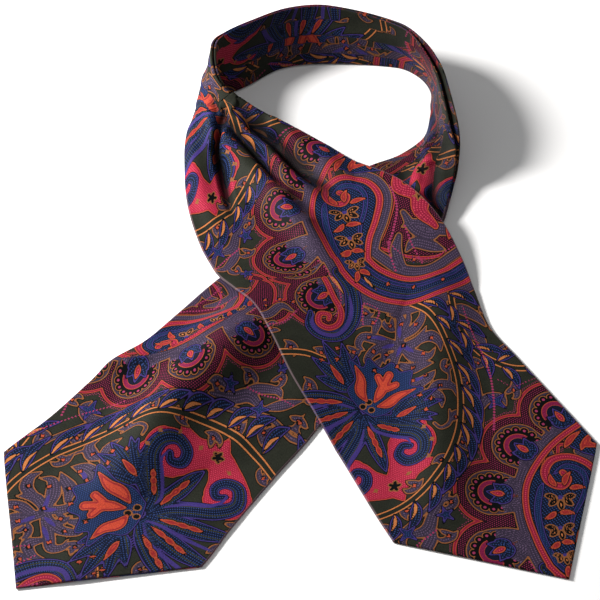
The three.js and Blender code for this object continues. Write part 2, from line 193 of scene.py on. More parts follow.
@dataclass
class Ribbon:
    """The whole length of cloth, from the front point to the back point.

    Attributes:
        sections: rows of station, low edge and high edge, in mm.
        folds: the troughs and ridges on top of them.
    """

    sections: Array
    folds: tuple[Fold, ...]

    def edge(self, at: Array, high: bool) -> Array:
        """A smooth curve through one edge's column of the table.

        Args:
            at: stations in mm.
            high: the high edge if true, else the low one.

        Returns:
            Points in mm, by cubics whose slope at a row comes from the rows beside it.
        """
        stations = self.sections[:, 0]
        values = self.sections[:, 4:7] if high else self.sections[:, 1:4]
        slopes = np.empty_like(values)
        slopes[1:-1] = (values[2:] - values[:-2]) / (stations[2:] - stations[:-2])[:, None]
        slopes[0] = (values[1] - values[0]) / (stations[1] - stations[0])
        slopes[-1] = (values[-1] - values[-2]) / (stations[-1] - stations[-2])
        row = np.clip(np.searchsorted(stations, at, side="right") - 1, 0, len(stations) - 2)
        span = (stations[row + 1] - stations[row])[..., None]
        t = (at - stations[row])[..., None] / span
        return ((2 * t**3 - 3 * t**2 + 1) * values[row] + (t**3 - 2 * t**2 + t) * span * slopes[row]
                + (3 * t**2 - 2 * t**3) * values[row + 1] + (t**3 - t**2) * span * slopes[row + 1])

    def ruled(self, at: Array, across: Array) -> Array:
        """Points on the straight lines between the edges.

        Args:
            at: stations in mm.
            across: 0 at the low edge, 1 at the high edge.

        Returns:
            Points in mm: low edge plus the way to the high edge times the across value.
        """
        low = self.edge(at, False)
        return low + (self.edge(at, True) - low) * across[..., None]

    def outward(self, at: Array, across: Array) -> Array:
        """Unit direction out of the outer face.

        Args:
            at: stations in mm.
            across: 0 at the low edge, 1 at the high edge.

        Returns:
            The cross product of the way over and the way along, at length 1.
        """
        along = self.ruled(at + 0.5, across) - self.ruled(at - 0.5, across)
        over = self.edge(at, True) - self.edge(at, False)
        normal = np.cross(over, along)
        return normal / np.linalg.norm(normal, axis=-1, keepdims=True)

    def width(self, at: Array) -> Array:
        """Distance between the edges in mm."""
        return np.linalg.norm(self.edge(at, True) - self.edge(at, False), axis=-1)

    def fold_height(self, at: Array, across: Array) -> Array:
        """Sum of all folds: each a bell across its path that ends at a foot.

        Args:
            at: stations in mm.
            across: 0 at the low edge, 1 at the high edge.

        Returns:
            Height out of the outer face in mm.
        """
        here = np.stack([at, across * self.width(at)], axis=-1)
        total = np.zeros(at.shape)
        for fold in self.folds:
            rows = np.array(fold.path)
            widths = self.width(rows[:, 0])
            points = np.stack([rows[:, 0], rows[:, 1] * widths], axis=-1)
            margin = 2 * max(fold.reach) + 1
            near = (at > rows[:, 0].min() - margin) & (at < rows[:, 0].max() + margin)
            spot = here[near]
            best = np.full(len(spot), np.inf)
            lift = np.zeros(len(spot))
            side = np.zeros(len(spot))
            for k in range(len(points) - 1):
                leg = points[k + 1] - points[k]
                share = np.clip((spot - points[k]) @ leg / (leg @ leg), 0, 1)
                offset = spot - (points[k] + share[:, None] * leg)
                distance = np.linalg.norm(offset, axis=-1)
                closer = distance < best
                best = np.where(closer, distance, best)
                lift = np.where(closer, rows[k, 2] + (rows[k + 1, 2] - rows[k, 2]) * share, lift)
                side = np.where(closer, offset[:, 1], side)
            reach = np.where(side > 0, fold.reach[1], fold.reach[0])
            bell = np.exp(-((best / reach) ** 2))
            total[near] += lift * np.maximum(0, bell - BELL_FOOT) / (1 - BELL_FOOT)
        return total

    def outer_fold_low(self, at: Array) -> Array:
        """Low limit of the outer fold, which narrows past the back seam."""
        return OUTER_FOLD_END_LOW * ease(BACK_SEAM_AT - 45, BACK_SEAM_AT + 30, at)

    def fold_gap(self, at: Array) -> Array:
        """Gap between the band's layers in mm."""
        opened = ease(BACK_SEAM_AT - OPENS_OVER, BACK_SEAM_AT, at)
        return LAYER_GAP + (OPEN_GAP - LAYER_GAP) * opened

    def layers_behind(self, at: Array, across: Array) -> Array:
        """How much a lying stretch is raised by what is under it.

        Args:
            at: stations in mm.
            across: 0 at the low edge, 1 at the high edge.

        Returns:
            Heights in mm: one wall, and the outer fold's wall and gap where it lies.
        """
        low = self.outer_fold_low(at)
        covered = ease(low - 0.14, low - 0.02, across)
        ending = ease(OUTER_FOLD_END_AT, OUTER_FOLD_END_AT + 30, at)
        return WALL + (WALL + self.fold_gap(at)) * covered * (1 - ending)

    def place(self, at: Array, across: Array, offset: Array, lift: Array | float = 0.0) -> Array:
        """Points of the cloth in mm.

        Args:
            at: stations in mm.
            across: 0 at the low edge, 1 at the high edge.
            offset: distance out of the inner face, in mm.
            lift: extra height above the table, in mm.

        Returns:
            Points that never go below the table.
        """
        normal = self.outward(at, across)
        point = self.ruled(at, across)
        point[..., 2] += np.maximum(0, -normal[..., 2]) * self.layers_behind(at, across) + lift
        point += normal * (offset + self.fold_height(at, across))[..., None]
        least = np.maximum(normal[..., 2], 0) * offset
        point[..., 2] = np.maximum(point[..., 2], least)
        return point


class Layer(Enum):
    """The inks of the print, from the bottom up."""

    LAVENDER = 0
    CRIMSON = 1
    NAVY = 2
    VIOLET = 3
    BLUE = 4
    DARK = 5
    RED = 6
    GOLD = 7
    MAROON = 8
    HEART = 9


@dataclass(frozen=True)
class Stroke:
    """A brush stroke or a filled region of one ink.

    Attributes:
        layer: its ink.
        points: rows of (x, y, radius) in mm, or of (x, y) for a region.
        filled: whether the points go round a region.
    """

    layer: Layer
    points: Array
    filled: bool = False


def smooth(rows: list[tuple[float, ...]], steps: int = 5) -> Array:
    """A curve through the rows.

    Args:
        rows: places, with any number of columns.
        steps: samples between two rows.

    Returns:
        Rows of a Catmull-Rom curve.
    """
    p = np.array(rows, dtype=float)
    if len(p) < 3:
        return p
    padded = np.concatenate([[2 * p[0] - p[1]], p, [2 * p[-1] - p[-2]]])
    t = np.linspace(0, 1, steps, endpoint=False)[:, None]
    spans = []
    for a, b, c, d in zip(padded[:-3], padded[1:-2], padded[2:-1], padded[3:]):
        spans.append(0.5 * (2 * b + (c - a) * t + (2 * a - 5 * b + 4 * c - d) * t**2
                            + (3 * b - a - 3 * c + d) * t**3))
    return np.concatenate(spans + [p[-1:]])


def brush(layer: Layer, rows: list[tuple[float, float, float]]) -> Stroke:
    """A smooth stroke of varying width.

    Args:
        layer: its ink.
        rows: places as (x, y, radius) in mm.

    Returns:
        The stroke, nowhere thinner than a radius of 0.15 mm.
    """
    curve = smooth(rows)
    curve[:, 2] = np.maximum(curve[:, 2], 0.15)
    return Stroke(layer, curve)


def line(layer: Layer, radius: float, rows: list[Place]) -> Stroke:
    """A smooth stroke of one radius through rows of (x, y)."""
    path = smooth(rows)
    return Stroke(layer, np.column_stack([path, np.full(len(path), radius)]))


def region(layer: Layer, rows: list[Place]) -> Stroke:
    """A filled region inside a smooth closed curve."""
    return Stroke(layer, smooth(rows + [rows[0]])[:-1], filled=True)


def disc(layer: Layer, centre: Place, radius: float) -> Stroke:
    """A round spot, as a stroke of almost no length."""
    return Stroke(layer, np.array([[*centre, radius], [centre[0] + 0.1, centre[1], radius]]))


def leaf(layer: Layer, base: Place, tip: Place, width: float, bend: float = 0.0) -> Stroke:
    """A pointed leaf, widest at a third of its length.

    Args:
        layer: its ink.
        base: where it springs from.
        tip: its point.
        width: its width in mm.
        bend: how far it bows sideways, as a share of its length.

    Returns:
        The stroke.
    """
    a, b = np.array(base, float), np.array(tip, float)
    side = np.array([a[1] - b[1], b[0] - a[0]])
    rows = [(*a, 0.3), (*(a + 0.3 * (b - a) + 0.8 * bend * side), 0.42 * width),
            (*(a + 0.6 * (b - a) + bend * side), 0.36 * width), (*b, 0.15)]
    return brush(layer, rows)


def blue_leaf(base: Place, tip: Place, width: float, bend: float) -> list[Stroke]:
    """A stippled navy leaf with a golden heart.

    Args:
        base: where it springs from.
        tip: its point.
        width: its width in mm.
        bend: how far it bows sideways, as a share of its length.

    Returns:
        Its two strokes.
    """
    a, b = np.array(base, float), np.array(tip, float)
    core = a + 0.62 * (b - a)
    return [leaf(Layer.NAVY, base, tip, width, bend),
            leaf(Layer.GOLD, tuple(a), tuple(core), 2.6, bend)]


def star(layer: Layer, centre: Place, size: float, arms: int, turn: float) -> list[Stroke]:
    """Pointed arms round a centre.

    Args:
        layer: its ink.
        centre: its middle.
        size: length of an arm in mm.
        arms: how many arms.
        turn: direction of the first arm in degrees.

    Returns:
        One stroke for each arm.
    """
    strokes = []
    for k in range(arms):
        angle = math.radians(turn + 360 * k / arms)
        tip = (centre[0] + size * math.cos(angle), centre[1] + size * math.sin(angle))
        strokes.append(brush(layer, [(*centre, 0.24 * size), (*tip, 0.1)]))
    return strokes


def blossom(centre: Place, size: float, turn: float) -> list[Stroke]:
    """A small open flower: dark petals in golden outline round a violet heart.

    Args:
        centre: its heart.
        size: length of a petal in mm.
        turn: direction of the middle petal in degrees.

    Returns:
        Its strokes.
    """
    strokes = []
    for k in range(-2, 3):
        angle = math.radians(turn + 50 * k)
        way = np.array([math.cos(angle), math.sin(angle)]) * size
        rows = [(*(centre + 0.3 * way), 0.09 * size), (*(centre + 0.68 * way), 0.22 * size),
                (*(centre + 0.98 * way), 0.1 * size)]
        strokes.append(brush(Layer.DARK, rows))
        ends = (tuple(centre + 0.45 * way), tuple(centre + 0.85 * way))
        strokes.append(leaf(Layer.GOLD, *ends, 1.5))
    return strokes + [disc(Layer.VIOLET, centre, 1.7)]


def near_box(x: Array, y: Array, px: Array, py: Array, margin: float) -> Array:
    """Whether places lie within a margin of the box round a path."""
    return ((x > px.min() - margin) & (x < px.max() + margin)
            & (y > py.min() - margin) & (y < py.max() + margin))


@dataclass
class PaisleyPrint:
    """A traditional paisley print of its own design, in cloth coordinates in mm.

    Attributes:
        repeat: length of the repeat along the cloth.
        reach: distance at which fields level off.
        mirrors: places across the cloth where the print turns back.
        strokes: every stroke and region of one repeat.
        fans: rows of (x, y, direction in degrees).
        vines: paths of the double stems.
        pearls: paths of the rows of pearls.
    """

    repeat: float = 286.0
    reach: float = 8.0
    mirrors: Place = (-100.0, 88.0)
    strokes: list[Stroke] = field(default_factory=list)
    fans: list[tuple[float, float, float]] = field(default_factory=list)
    vines: list[Array] = field(default_factory=list)
    pearls: list[Array] = field(default_factory=list)

    def draw(self) -> None:
        """Lays out every motif of one repeat."""
        self.draw_paisley()
        self.draw_fans()
        self.draw_borders()
        self.draw_vines()
        self.draw_heart()
        self.draw_feathers()
        self.draw_lotus()
        self.draw_sprays()
        self.draw_scroll()
        self.draw_filling()

    def brushes(self, layer: Layer, *paths: list[tuple[float, float, float]]) -> None:
        """Adds a smooth stroke of varying width along each path."""
        self.strokes += [brush(layer, rows) for rows in paths]

    def lines(self, layer: Layer, radius: float, *paths: list[Place]) -> None:
        """Adds a stroke of one radius along each path."""
        self.strokes += [line(layer, radius, rows) for rows in paths]

    def regions(self, layer: Layer, *paths: list[Place]) -> None:
        """Adds a filled region inside each path."""
        self.strokes += [region(layer, rows) for rows in paths]

    def leaves(self, layer: Layer, width: float, bend: float, *ends: tuple[Place, Place]) -> None:
        """Adds a leaf from each base to its tip."""
        self.strokes += [leaf(layer, base, tip, width, bend) for base, tip in ends]

    def vine_leaves(self, width: float, *ends: tuple[Place, Place]) -> None:
        """Adds a blue leaf on each base, half as long again as its tip says."""
        for base, tip in ends:
            far = tuple(np.array(base) + 1.5 * (np.array(tip) - np.array(base)))
            self.strokes += blue_leaf(base, far, width, 0.12)

    def stars(self, layer: Layer, size: float, arms: int, turn: float, *places: Place) -> None:
        """Adds a star at each place."""
        for place in places:
            self.strokes += star(layer, place, size, arms, turn)

    def palmette(self, width: float, base: Place, *tips: Place) -> None:
        """Adds a jagged leaf: one pointed navy lobe for each tip."""
        self.leaves(Layer.NAVY, width, 0.0, *((base, tip) for tip in tips))

    def pearl_rows(self, *paths: list[Place]) -> None:
        """Adds a row of pearls along each path."""
        self.pearls += [smooth(rows) for rows in paths]

    def draw_filling(self) -> None:
        """Small sprigs wherever the ground would be bare, by a seeded scatter."""
        dice = np.random.default_rng(11)
        x, y = np.meshgrid(np.arange(-98, 88, 6.5), np.arange(0, self.repeat, 6.5))
        x = (x + dice.uniform(-2, 2, x.shape)).ravel()
        y = (y + dice.uniform(-2, 2, y.shape)).ravel()
        taken = self.fields(x, y)
        names = ("lavender", "crimson", "navy", "blue", "dark", "red", "maroon", "heart", "vine")
        bare = np.minimum.reduce([taken[name] for name in names]) > 2.6
        kept: list[Place] = []
        for px, py in zip(x[bare], y[bare]):
            if any(math.hypot(px - a, py - b) < 19 for a, b in kept):
                continue
            kept.append((px, py))
            turn = dice.uniform(0, 2 * math.pi)
            way = np.array([math.cos(turn), math.sin(turn)])
            side = np.array([-way[1], way[0]])
            spot = np.array([px, py])
            self.brushes(Layer.LAVENDER, [
                (*(spot - 7 * way), 0.4), (*(spot - 1 * way + 2 * side), 2.6),
                (*(spot + 5 * way + side), 2.0), (*(spot + 7 * way - 3 * side), 0.3)], [
                (*(spot - 4 * way), 0.4), (*(spot - 3 * side), 2.0),
                (*(spot + 2 * way - 7 * side), 0.3)])
            self.stars(Layer.VIOLET, 3.0, 5, math.degrees(turn), (px, py))
            self.stars(Layer.RED, 1.5, 4, math.degrees(turn), (px, py))

    def draw_paisley(self) -> None:
        """The big navy drop, its crimson edge curling in at the head."""
        self.lines(Layer.MAROON, 11.0, [(-18, 6), (-12, 38), (-4, 62), (12, 85), (34, 101),
            (60, 109), (90, 113)])
        self.regions(Layer.MAROON, [(27, 18), (35, 22), (48, 30), (64, 42), (73, 60), (100, 60),
            (100, -10), (66, -12), (42, 0)])
        self.regions(Layer.NAVY, [(-4, 10), (-1, 32), (7, 54), (19, 71), (38, 84), (56, 80),
            (63, 65), (57, 50), (42, 38), (26, 27), (16, 10)])
        self.lines(Layer.LAVENDER, 3.6, [(-11, 12), (-9, 24), (-5, 38), (4, 60), (17, 79), (37, 93),
            (60, 101), (90, 105)])
        self.lines(Layer.LAVENDER, 3.0, [(24, 16), (33, 24), (46, 32), (62, 45), (70, 64),
            (64, 80)])
        self.lines(Layer.CRIMSON, 1.7, [(-5, 12), (-3, 24), (0, 36), (7, 56), (19, 74), (38, 87),
            (60, 95), (90, 99)])
        self.brushes(Layer.CRIMSON, [(17, 13, 1.7), (21, 19, 1.7), (29, 27, 1.7), (43, 36, 1.8),
            (58, 48, 1.9), (64, 64, 2.0), (58, 78, 2.2), (46, 83, 2.4), (36, 78, 2.5),
            (33, 69, 2.5), (38, 62, 2.4), (45, 65, 2.2), (45, 71, 2.0)])
        self.brushes(Layer.BLUE, [(0, 14, 1.3), (2, 24, 1.5), (5, 36, 1.7), (13, 53, 1.9),
            (24, 66, 1.7), (29, 70, 0.4)], [(40, 73, 0.8), (50, 74, 1.8), (56, 66, 1.8),
            (53, 56, 1.4), (42, 46, 1.2), (30, 38, 1.0), (20, 26, 0.5)])
        self.strokes += blossom((32, 55), 9.5, 240) + blossom((18, 35), 9.0, 245)
        self.strokes += blossom((8, 16), 7.0, 250)
        self.leaves(Layer.RED, 4.2, 0.1, ((24, 45), (33, 39)), ((23, 47), (13, 46)),
            ((12, 25), (19, 20)), ((11, 26), (3, 25)), ((40, 62), (50, 69)), ((41, 58), (51, 53)),
            ((35, 64), (37, 74)), ((6, 8), (12, 1)), ((4, 8), (-1, 1)))
        self.leaves(Layer.RED, 4.6, 0.06, ((66, 80), (84, 88)), ((68, 84), (80, 75)),
            ((58, 87), (76, 93)), ((76, 70), (88, 80)))
        self.regions(Layer.NAVY, [(66, 78), (80, 62), (95, 50), (95, 96), (64, 90)])
        self.stars(Layer.LAVENDER, 2.6, 5, 20, (14, 44), (23, 60), (5, 44), (48, 42))

    def draw_fans(self) -> None:
        """Scalloped fans along the outside of the drop, each with a little tulip."""
        self.fans = [(-28, 40, 178), (-3, 80, 140), (33, 103, 112), (71, 112, 92), (-32, 0, 190)]
        for x, y, turn in self.fans:
            away = np.radians(turn)
            out = np.array([math.cos(away), math.sin(away)])
            side = np.array([-out[1], out[0]])
            heart = np.array([x, y])
            base = tuple(heart - 11 * out)
            field_ends = np.array([[*heart, 26.0], [*(heart + 0.1), 26.0]])
            self.strokes.append(Stroke(Layer.MAROON, field_ends))
            for ahead, over in ((4.5, 0), (1, 7.5), (1, -7.5), (-5, 8), (-5, -8)):
                tip = tuple(heart + ahead * out + over * side)
                self.strokes.append(leaf(Layer.NAVY, base, tip, 7.5))
            self.brushes(Layer.LAVENDER, [(*(heart - back * out), radius) for back, radius in
                                          ((0, 18), (10, 14), (19, 8), (30, 2))])
            self.leaves(Layer.CRIMSON, 4.4, 0.0, (tuple(heart - 7 * out), tuple(heart + 1.5 * out)))

    def draw_borders(self) -> None:
        """Dotted fields with crimson edges, stars and rows of pearls."""
        self.brushes(Layer.MAROON, [(-100, 298, 15), (-82, 298, 14), (-70, 306, 11), (-62, 316, 7),
            (-60, 326, 1)], [(-82, 290, 8), (-68, 286, 9), (-58, 290, 5), (-52, 294, 0.6)])
        self.stars(Layer.BLUE, 8.5, 4, 15, (42, 141))
        self.stars(Layer.BLUE, 6, 5, 10, (-40, 79))
        self.stars(Layer.BLUE, 7.5, 4, 20, (-68, 80))
        self.stars(Layer.BLUE, 5, 5, 0, (-62, 44))
        self.pearl_rows([(26, 122), (42, 144), (55, 168), (62, 196), (64, 224)],
            [(54, 156), (60, 145), (72, 143), (88, 141)],
            [(-90, 66), (-76, 67), (-64, 70), (-50, 73)])

    def draw_vines(self) -> None:
        """Double golden stems with blue leaves, and the lavender line outside them."""
        self.vines = [smooth(rows) for rows in (
            [(-100, 108), (-82, 103), (-60, 101), (-40, 104), (-20, 113), (0, 129), (15, 147),
             (28, 168), (36, 190), (39, 212), (36, 232), (28, 250), (24, 258)],
            [(64, 256), (56, 225), (56, 200), (59, 178), (66, 162), (78, 152), (96, 147)],
            [(-100, 258), (-80, 254), (-62, 246), (-50, 234)])]
        self.lines(Layer.LAVENDER, 1.7, [(-100, 84), (-80, 82), (-60, 86), (-40, 92), (-20, 100),
            (-2, 110), (14, 123), (29, 141), (41, 163), (49, 187), (52, 212), (50, 236), (44, 250)])
        self.brushes(Layer.LAVENDER, [(-70, 79, 1.5), (-56, 76, 4.5), (-46, 84, 3.5),
            (-30, 92, 1.0)], [(-50, 78, 1.0), (-58, 68, 4.2), (-70, 62, 3.4), (-78, 66, 0.6)],
            [(-70, 79, 1.0), (-82, 70, 4.4), (-92, 60, 1.0)], [(30, 141, 1.0), (38, 146, 4.0),
            (47, 142, 3.0), (46, 135, 0.6)], [(52, 206, 1.0), (60, 202, 4.4), (66, 192, 3.4),
            (62, 184, 0.8)], [(52, 224, 1.0), (62, 222, 4.4), (72, 212, 3.6), (76, 202, 0.8)])
        self.vine_leaves(8.4, ((-84, 99), (-92, 86)), ((-68, 98), (-78, 86)),
            ((-52, 99), (-62, 87)), ((-35, 103), (-44, 92)), ((-19, 111), (-29, 99)),
            ((-6, 122), (-14, 107)), ((8, 136), (1, 117)), ((18, 148), (13, 128)),
            ((27, 163), (24, 142)), ((35, 182), (34, 160)), ((40, 203), (44, 182)),
            ((40, 224), (47, 206)), ((36, 243), (46, 229)))
        self.vine_leaves(8.0, ((57, 238), (70, 226)), ((54, 214), (65, 200)),
            ((57, 190), (68, 176)), ((64, 168), (78, 166)), ((54, 228), (50, 214)),
            ((54, 205), (50, 190)), ((58, 180), (53, 166)), ((64, 162), (63, 148)),
            ((78, 153), (80, 142)))
        for x, y in ((-2, 142), (18, 172)):
            self.brushes(Layer.LAVENDER, [(x + 8, y + 6, 0.8), (x + 2, y - 3, 1.4),
                (x - 6, y - 4, 1.3), (x - 8, y + 2, 1.0)])

    def draw_heart(self) -> None:
        """A crimson heart whose two lobes curl in, with a dark flower at the top."""
        self.brushes(Layer.HEART, [(-31, 141, 17), (-42, 129, 12), (-57, 120, 9), (-72, 129, 12),
            (-82, 141, 17)], [(-57, 105, 0.4), (-57, 113, 5), (-57, 121, 9)], [(-24, 118, 0.6),
            (-32, 121, 4), (-44, 125, 8)], [(-24, 150, 10), (-17, 160, 5), (-13, 172, 0.6)])
        self.brushes(Layer.NAVY, [(-44, 182, 3), (-41, 171, 6), (-32, 161, 6.8), (-23, 150, 5.8),
            (-22, 138, 4.8), (-29, 129, 4.2), (-39, 131, 3.6), (-42, 140, 3.0), (-36, 145, 2.4),
            (-32, 141, 1.8)], [(-49, 182, 3), (-57, 172, 6), (-69, 164, 6.4), (-83, 155, 5.8),
            (-91, 142, 4.8), (-84, 130, 4.2), (-74, 131, 3.6), (-70, 139, 3.0), (-75, 145, 2.4),
            (-80, 141, 1.8)])
        self.brushes(Layer.VIOLET, [(-46, 176, 0.6), (-46, 168, 1.2), (-38, 157, 1.3),
            (-31, 149, 1.1), (-30, 142, 0.6)], [(-52, 174, 0.6), (-62, 163, 1.4), (-75, 155, 1.4),
            (-81, 146, 1.1), (-80, 139, 0.6)])
        for k in range(5):
            angle = math.radians(-90 + 72 * k)
            petal = (-57 + 3.4 * math.cos(angle), 119 + 3.4 * math.sin(angle))
            self.strokes.append(Stroke(Layer.DARK, np.array([[-57, 119, 1.2], [*petal, 1.4]])))
        self.stars(Layer.DARK, 1.9, 4, 0, (-18, 134), (-17, 147), (-27, 124), (-70, 123),
            (-44, 122))

    def draw_feathers(self) -> None:
        """Curled feathers that spring from the lotus, stippled and striped."""
        self.brushes(Layer.NAVY,
            [(-47, 184, 2), (-49, 172, 4.6), (-52, 158, 5.6), (-54, 144, 4.0), (-56, 134, 0.6)],
            [(-48, 187, 2), (-62, 182, 6), (-80, 176, 7), (-98, 168, 4), (-108, 164, 0.6)],
            [(-48, 190, 2), (-62, 194, 6), (-80, 196, 7), (-100, 196, 4), (-110, 196, 0.6)],
            [(-47, 193, 2), (-58, 203, 5.5), (-74, 212, 6), (-92, 217, 4), (-104, 218, 0.6)],
            [(-44, 178, 2), (-34, 172, 3.6), (-24, 166, 3.4), (-15, 158, 2.4), (-10, 148, 0.6)])
        self.brushes(Layer.VIOLET,
            [(-50, 190, 0.8), (-60, 188, 1.3), (-76, 187, 1.5), (-94, 184, 1.2)],
            [(-50, 193, 0.8), (-62, 203, 1.4), (-78, 206, 1.6), (-100, 208, 1.2)])
        for start, stop in (((-84, 174), (-56, 184)), ((-86, 196), (-56, 192)),
                            ((-82, 214), (-56, 201)), ((-53, 146), (-49, 174)),
                            ((-31, 158), (-42, 171))):
            a, b = np.array(start, float), np.array(stop, float)
            self.brushes(Layer.RED, [(*(a + share * (b - a)), radius) for share, radius in (
                (0, 0.3), (0.2, 1.7), (0.33, 0.9), (0.47, 1.9), (0.6, 1.0), (0.74, 1.7), (1, 0.3))])
        self.palmette(11, (-30, 172), (-17, 148), (-4, 149), (7, 157), (9, 168), (1, 180))
        self.palmette(12, (-42, 206), (-63, 226), (-59, 241), (-46, 250), (-33, 243), (-27, 229))
        self.leaves(Layer.RED, 4.6, 0.0, ((-26, 169), (-11, 166)), ((-47, 213), (-49, 230)))
        self.stars(Layer.RED, 1.9, 4, 45, (-8, 158), (0, 163), (-4, 172), (-42, 232), (-53, 236),
            (-38, 240))

    def draw_lotus(self) -> None:
        """An orange-red lotus in a navy bract, on three small rings."""
        self.regions(Layer.BLUE, [(-41, 179), (-30, 176), (-17, 179), (1, 175), (-4, 186), (4, 196),
            (-4, 202), (-5, 212), (-15, 212), (-20, 223), (-27, 218), (-34, 228), (-37, 213),
            (-47, 207), (-46, 192)])
        self.brushes(Layer.RED, [(-33, 185, 0.8), (-25, 183, 3.8), (-15, 184, 3.2), (-3, 180, 0.3)],
            [(-33, 190, 0.8), (-26, 194, 3.6), (-20, 198, 4.0)], [(-19, 195, 3.0), (-12, 194, 2.8)],
            [(-19, 199, 3.0), (-12, 204, 3.2)], [(-21, 199, 2.8), (-20, 207, 2.6)],
            [(-38, 194, 0.8), (-38, 203, 4.0), (-33, 211, 3.2), (-32, 222, 0.3)])
        self.stars(Layer.DARK, 1.7, 4, 0, (-26, 183), (-19, 184), (-13, 183), (-38, 201),
            (-36, 207), (-34, 213))
        self.stars(Layer.DARK, 3.4, 4, 30, (-18, 199))
        for place in ((-39, 185), (-43, 191), (-37, 192)):
            self.strokes.append(disc(Layer.DARK, place, 2.3))

    def draw_sprays(self) -> None:
        """Lavender sprays of curled leaves, with violet and gold touches."""
        self.brushes(Layer.LAVENDER,
            [(-6, 193, 1.0), (-2, 184, 5.0), (8, 181, 4.6), (17, 183, 0.3)],
            [(8, 216, 3), (12, 206, 5.0), (20, 198, 3.2), (28, 201, 0.3)],
            [(10, 218, 3), (18, 215, 4.2), (24, 217, 2.6), (30, 221, 0.3)],
            [(8, 220, 3.5), (-2, 213, 3.6), (-8, 204, 2.6), (-6, 196, 0.4)],
            [(6, 222, 3.5), (-4, 226, 4.0), (-14, 226, 3.6), (-22, 222, 2.4), (-21, 219, 0.6)],
            [(2, 226, 3.0), (-8, 234, 4.0), (-16, 241, 3.6), (-22, 236, 2.6), (-20, 230, 0.5)],
            [(8, 224, 3.5), (14, 234, 4.2), (16, 243, 3.0), (8, 249, 0.6)],
            [(14, 230, 3.0), (21, 236, 2.6), (24, 245, 0.5)],
            [(20, 214, 2.5), (29, 212, 4.4), (33, 204, 3.2), (30, 196, 0.4)],
            [(0, 206, 2.5), (5, 198, 4.6), (13, 194, 3.4), (20, 190, 0.4)],
            [(-12, 218, 2.0), (-20, 214, 4.0), (-22, 206, 0.6)],
            [(12, 226, 3.0), (22, 226, 4.4), (30, 230, 3.2), (33, 238, 0.4)],
            [(-6, 240, 2.5), (-2, 247, 4.2), (-10, 252, 3.2), (-20, 250, 0.4)],
            [(4, 172, 1.0), (12, 170, 4.4), (20, 164, 3.2), (18, 156, 0.4)],
            [(-2, 176, 1.0), (6, 162, 3.6), (2, 152, 0.4)])
        self.leaves(Layer.VIOLET, 3.6, 0.0, ((8, 220), (14, 207)), ((8, 220), (0, 214)),
            ((4, 224), (-8, 226)), ((9, 226), (14, 238)), ((0, 188), (8, 183)),
            ((0, 230), (-12, 238)))
        for x, y in ((9, 219), (18, 203), (0, 188), (-14, 226), (-12, 238), (15, 236), (-3, 207),
                (29, 210), (24, 228), (6, 198), (-4, 248), (12, 169), (-20, 213), (9, 184)):
            self.strokes += star(Layer.VIOLET, (x, y), 3.4, 5, 10)
            self.strokes += star(Layer.RED, (x, y), 1.7, 4, 10)

    def draw_scroll(self) -> None:
        """The striped scroll that runs into the drop, and the hooks beside it."""
        self.lines(Layer.LAVENDER, 4.4, [(95, 240), (72, 237), (48, 237), (28, 243), (11, 255),
            (-1, 270), (-9, 290), (-11, 300)])
        self.lines(Layer.LAVENDER, 4.0, [(95, 272), (74, 270), (56, 269), (44, 273), (33, 282),
            (26, 296), (24, 304)])
        self.lines(Layer.NAVY, 10.0, [(95, 256), (72, 253), (52, 253), (36, 258), (23, 268),
            (13, 280), (6, 292), (5, 300)])
        self.lines(Layer.CRIMSON, 1.9, [(95, 246), (72, 243), (50, 243), (32, 248), (17, 258),
            (5, 272), (-3, 288), (-5, 300)])
        self.lines(Layer.CRIMSON, 1.8, [(95, 266), (74, 263), (56, 263), (42, 267), (30, 276),
            (20, 289), (17, 300)])
        self.lines(Layer.BLUE, 1.3, [(95, 260), (72, 257), (54, 257), (40, 261), (27, 271),
            (17, 283), (11, 296)], [(95, 251), (72, 248), (50, 248), (34, 253), (20, 263), (9, 276),
            (2, 290), (0, 300)])
        self.brushes(Layer.NAVY, [(-8, 300, 4), (-7, 284, 5), (-12, 268, 6), (-20, 256, 5.5),
            (-32, 250, 5), (-44, 255, 4), (-49, 266, 3.4), (-44, 277, 1.5)])
        self.brushes(Layer.VIOLET, [(-10, 280, 0.6), (-15, 266, 1.5), (-24, 255, 1.7),
            (-35, 251, 1.7), (-45, 258, 1.6), (-47, 268, 1.2), (-42, 275, 0.5)])
        self.brushes(Layer.CRIMSON, [(-20, 300, 1.8), (-22, 284, 1.8), (-22, 270, 2.0),
            (-28, 260, 2.2), (-37, 259, 2.2), (-42, 266, 2.1), (-38, 273, 1.9), (-32, 270, 1.7),
            (-34, 266, 1.4)], [(72, 8, 2), (70, 22, 5), (78, 32, 6), (72, 44, 4), (82, 54, 2)])
        self.brushes(Layer.LAVENDER, [(70, 276, 0.5), (62, 284, 4.0), (52, 292, 3.6),
            (44, 290, 1.0)], [(84, 284, 3.0), (72, 292, 4.4), (60, 304, 3.0), (52, 306, 0.6)],
            [(-86, 290, 2.5), (-74, 286, 3.6), (-62, 290, 3.2), (-56, 282, 1.0)], [(46, 16, 2.0),
            (38, 8, 4.0), (36, -4, 3.0), (42, -12, 0.6)], [(60, 28, 2.0), (58, 14, 4.2),
            (66, 4, 3.2), (76, 4, 0.6)])
        self.leaves(Layer.GOLD, 3.4, 0.0, ((-15, 302), (-14, 282)))
        self.leaves(Layer.GOLD, 2.2, 0.0, ((6, 290), (10, 274)))
        self.leaves(Layer.CRIMSON, 7, 0.0, ((76, -4), (90, 12)))
        self.stars(Layer.DARK, 4, 5, 0, (77, 31))
        self.pearl_rows([(-14, 310), (-15, 296), (-17, 280), (-28, 266)],
            [(95, 278), (78, 276), (62, 276), (50, 280), (40, 290), (36, 304)],
            [(30, -5), (34, 12), (46, 22), (60, 34), (70, 50)], [(50, -10), (50, 6), (54, 20)],
            [(-92, 276), (-80, 278), (-66, 276), (-52, 282)],
            [(-4, 246), (4, 256), (-4, 268), (-12, 250)])
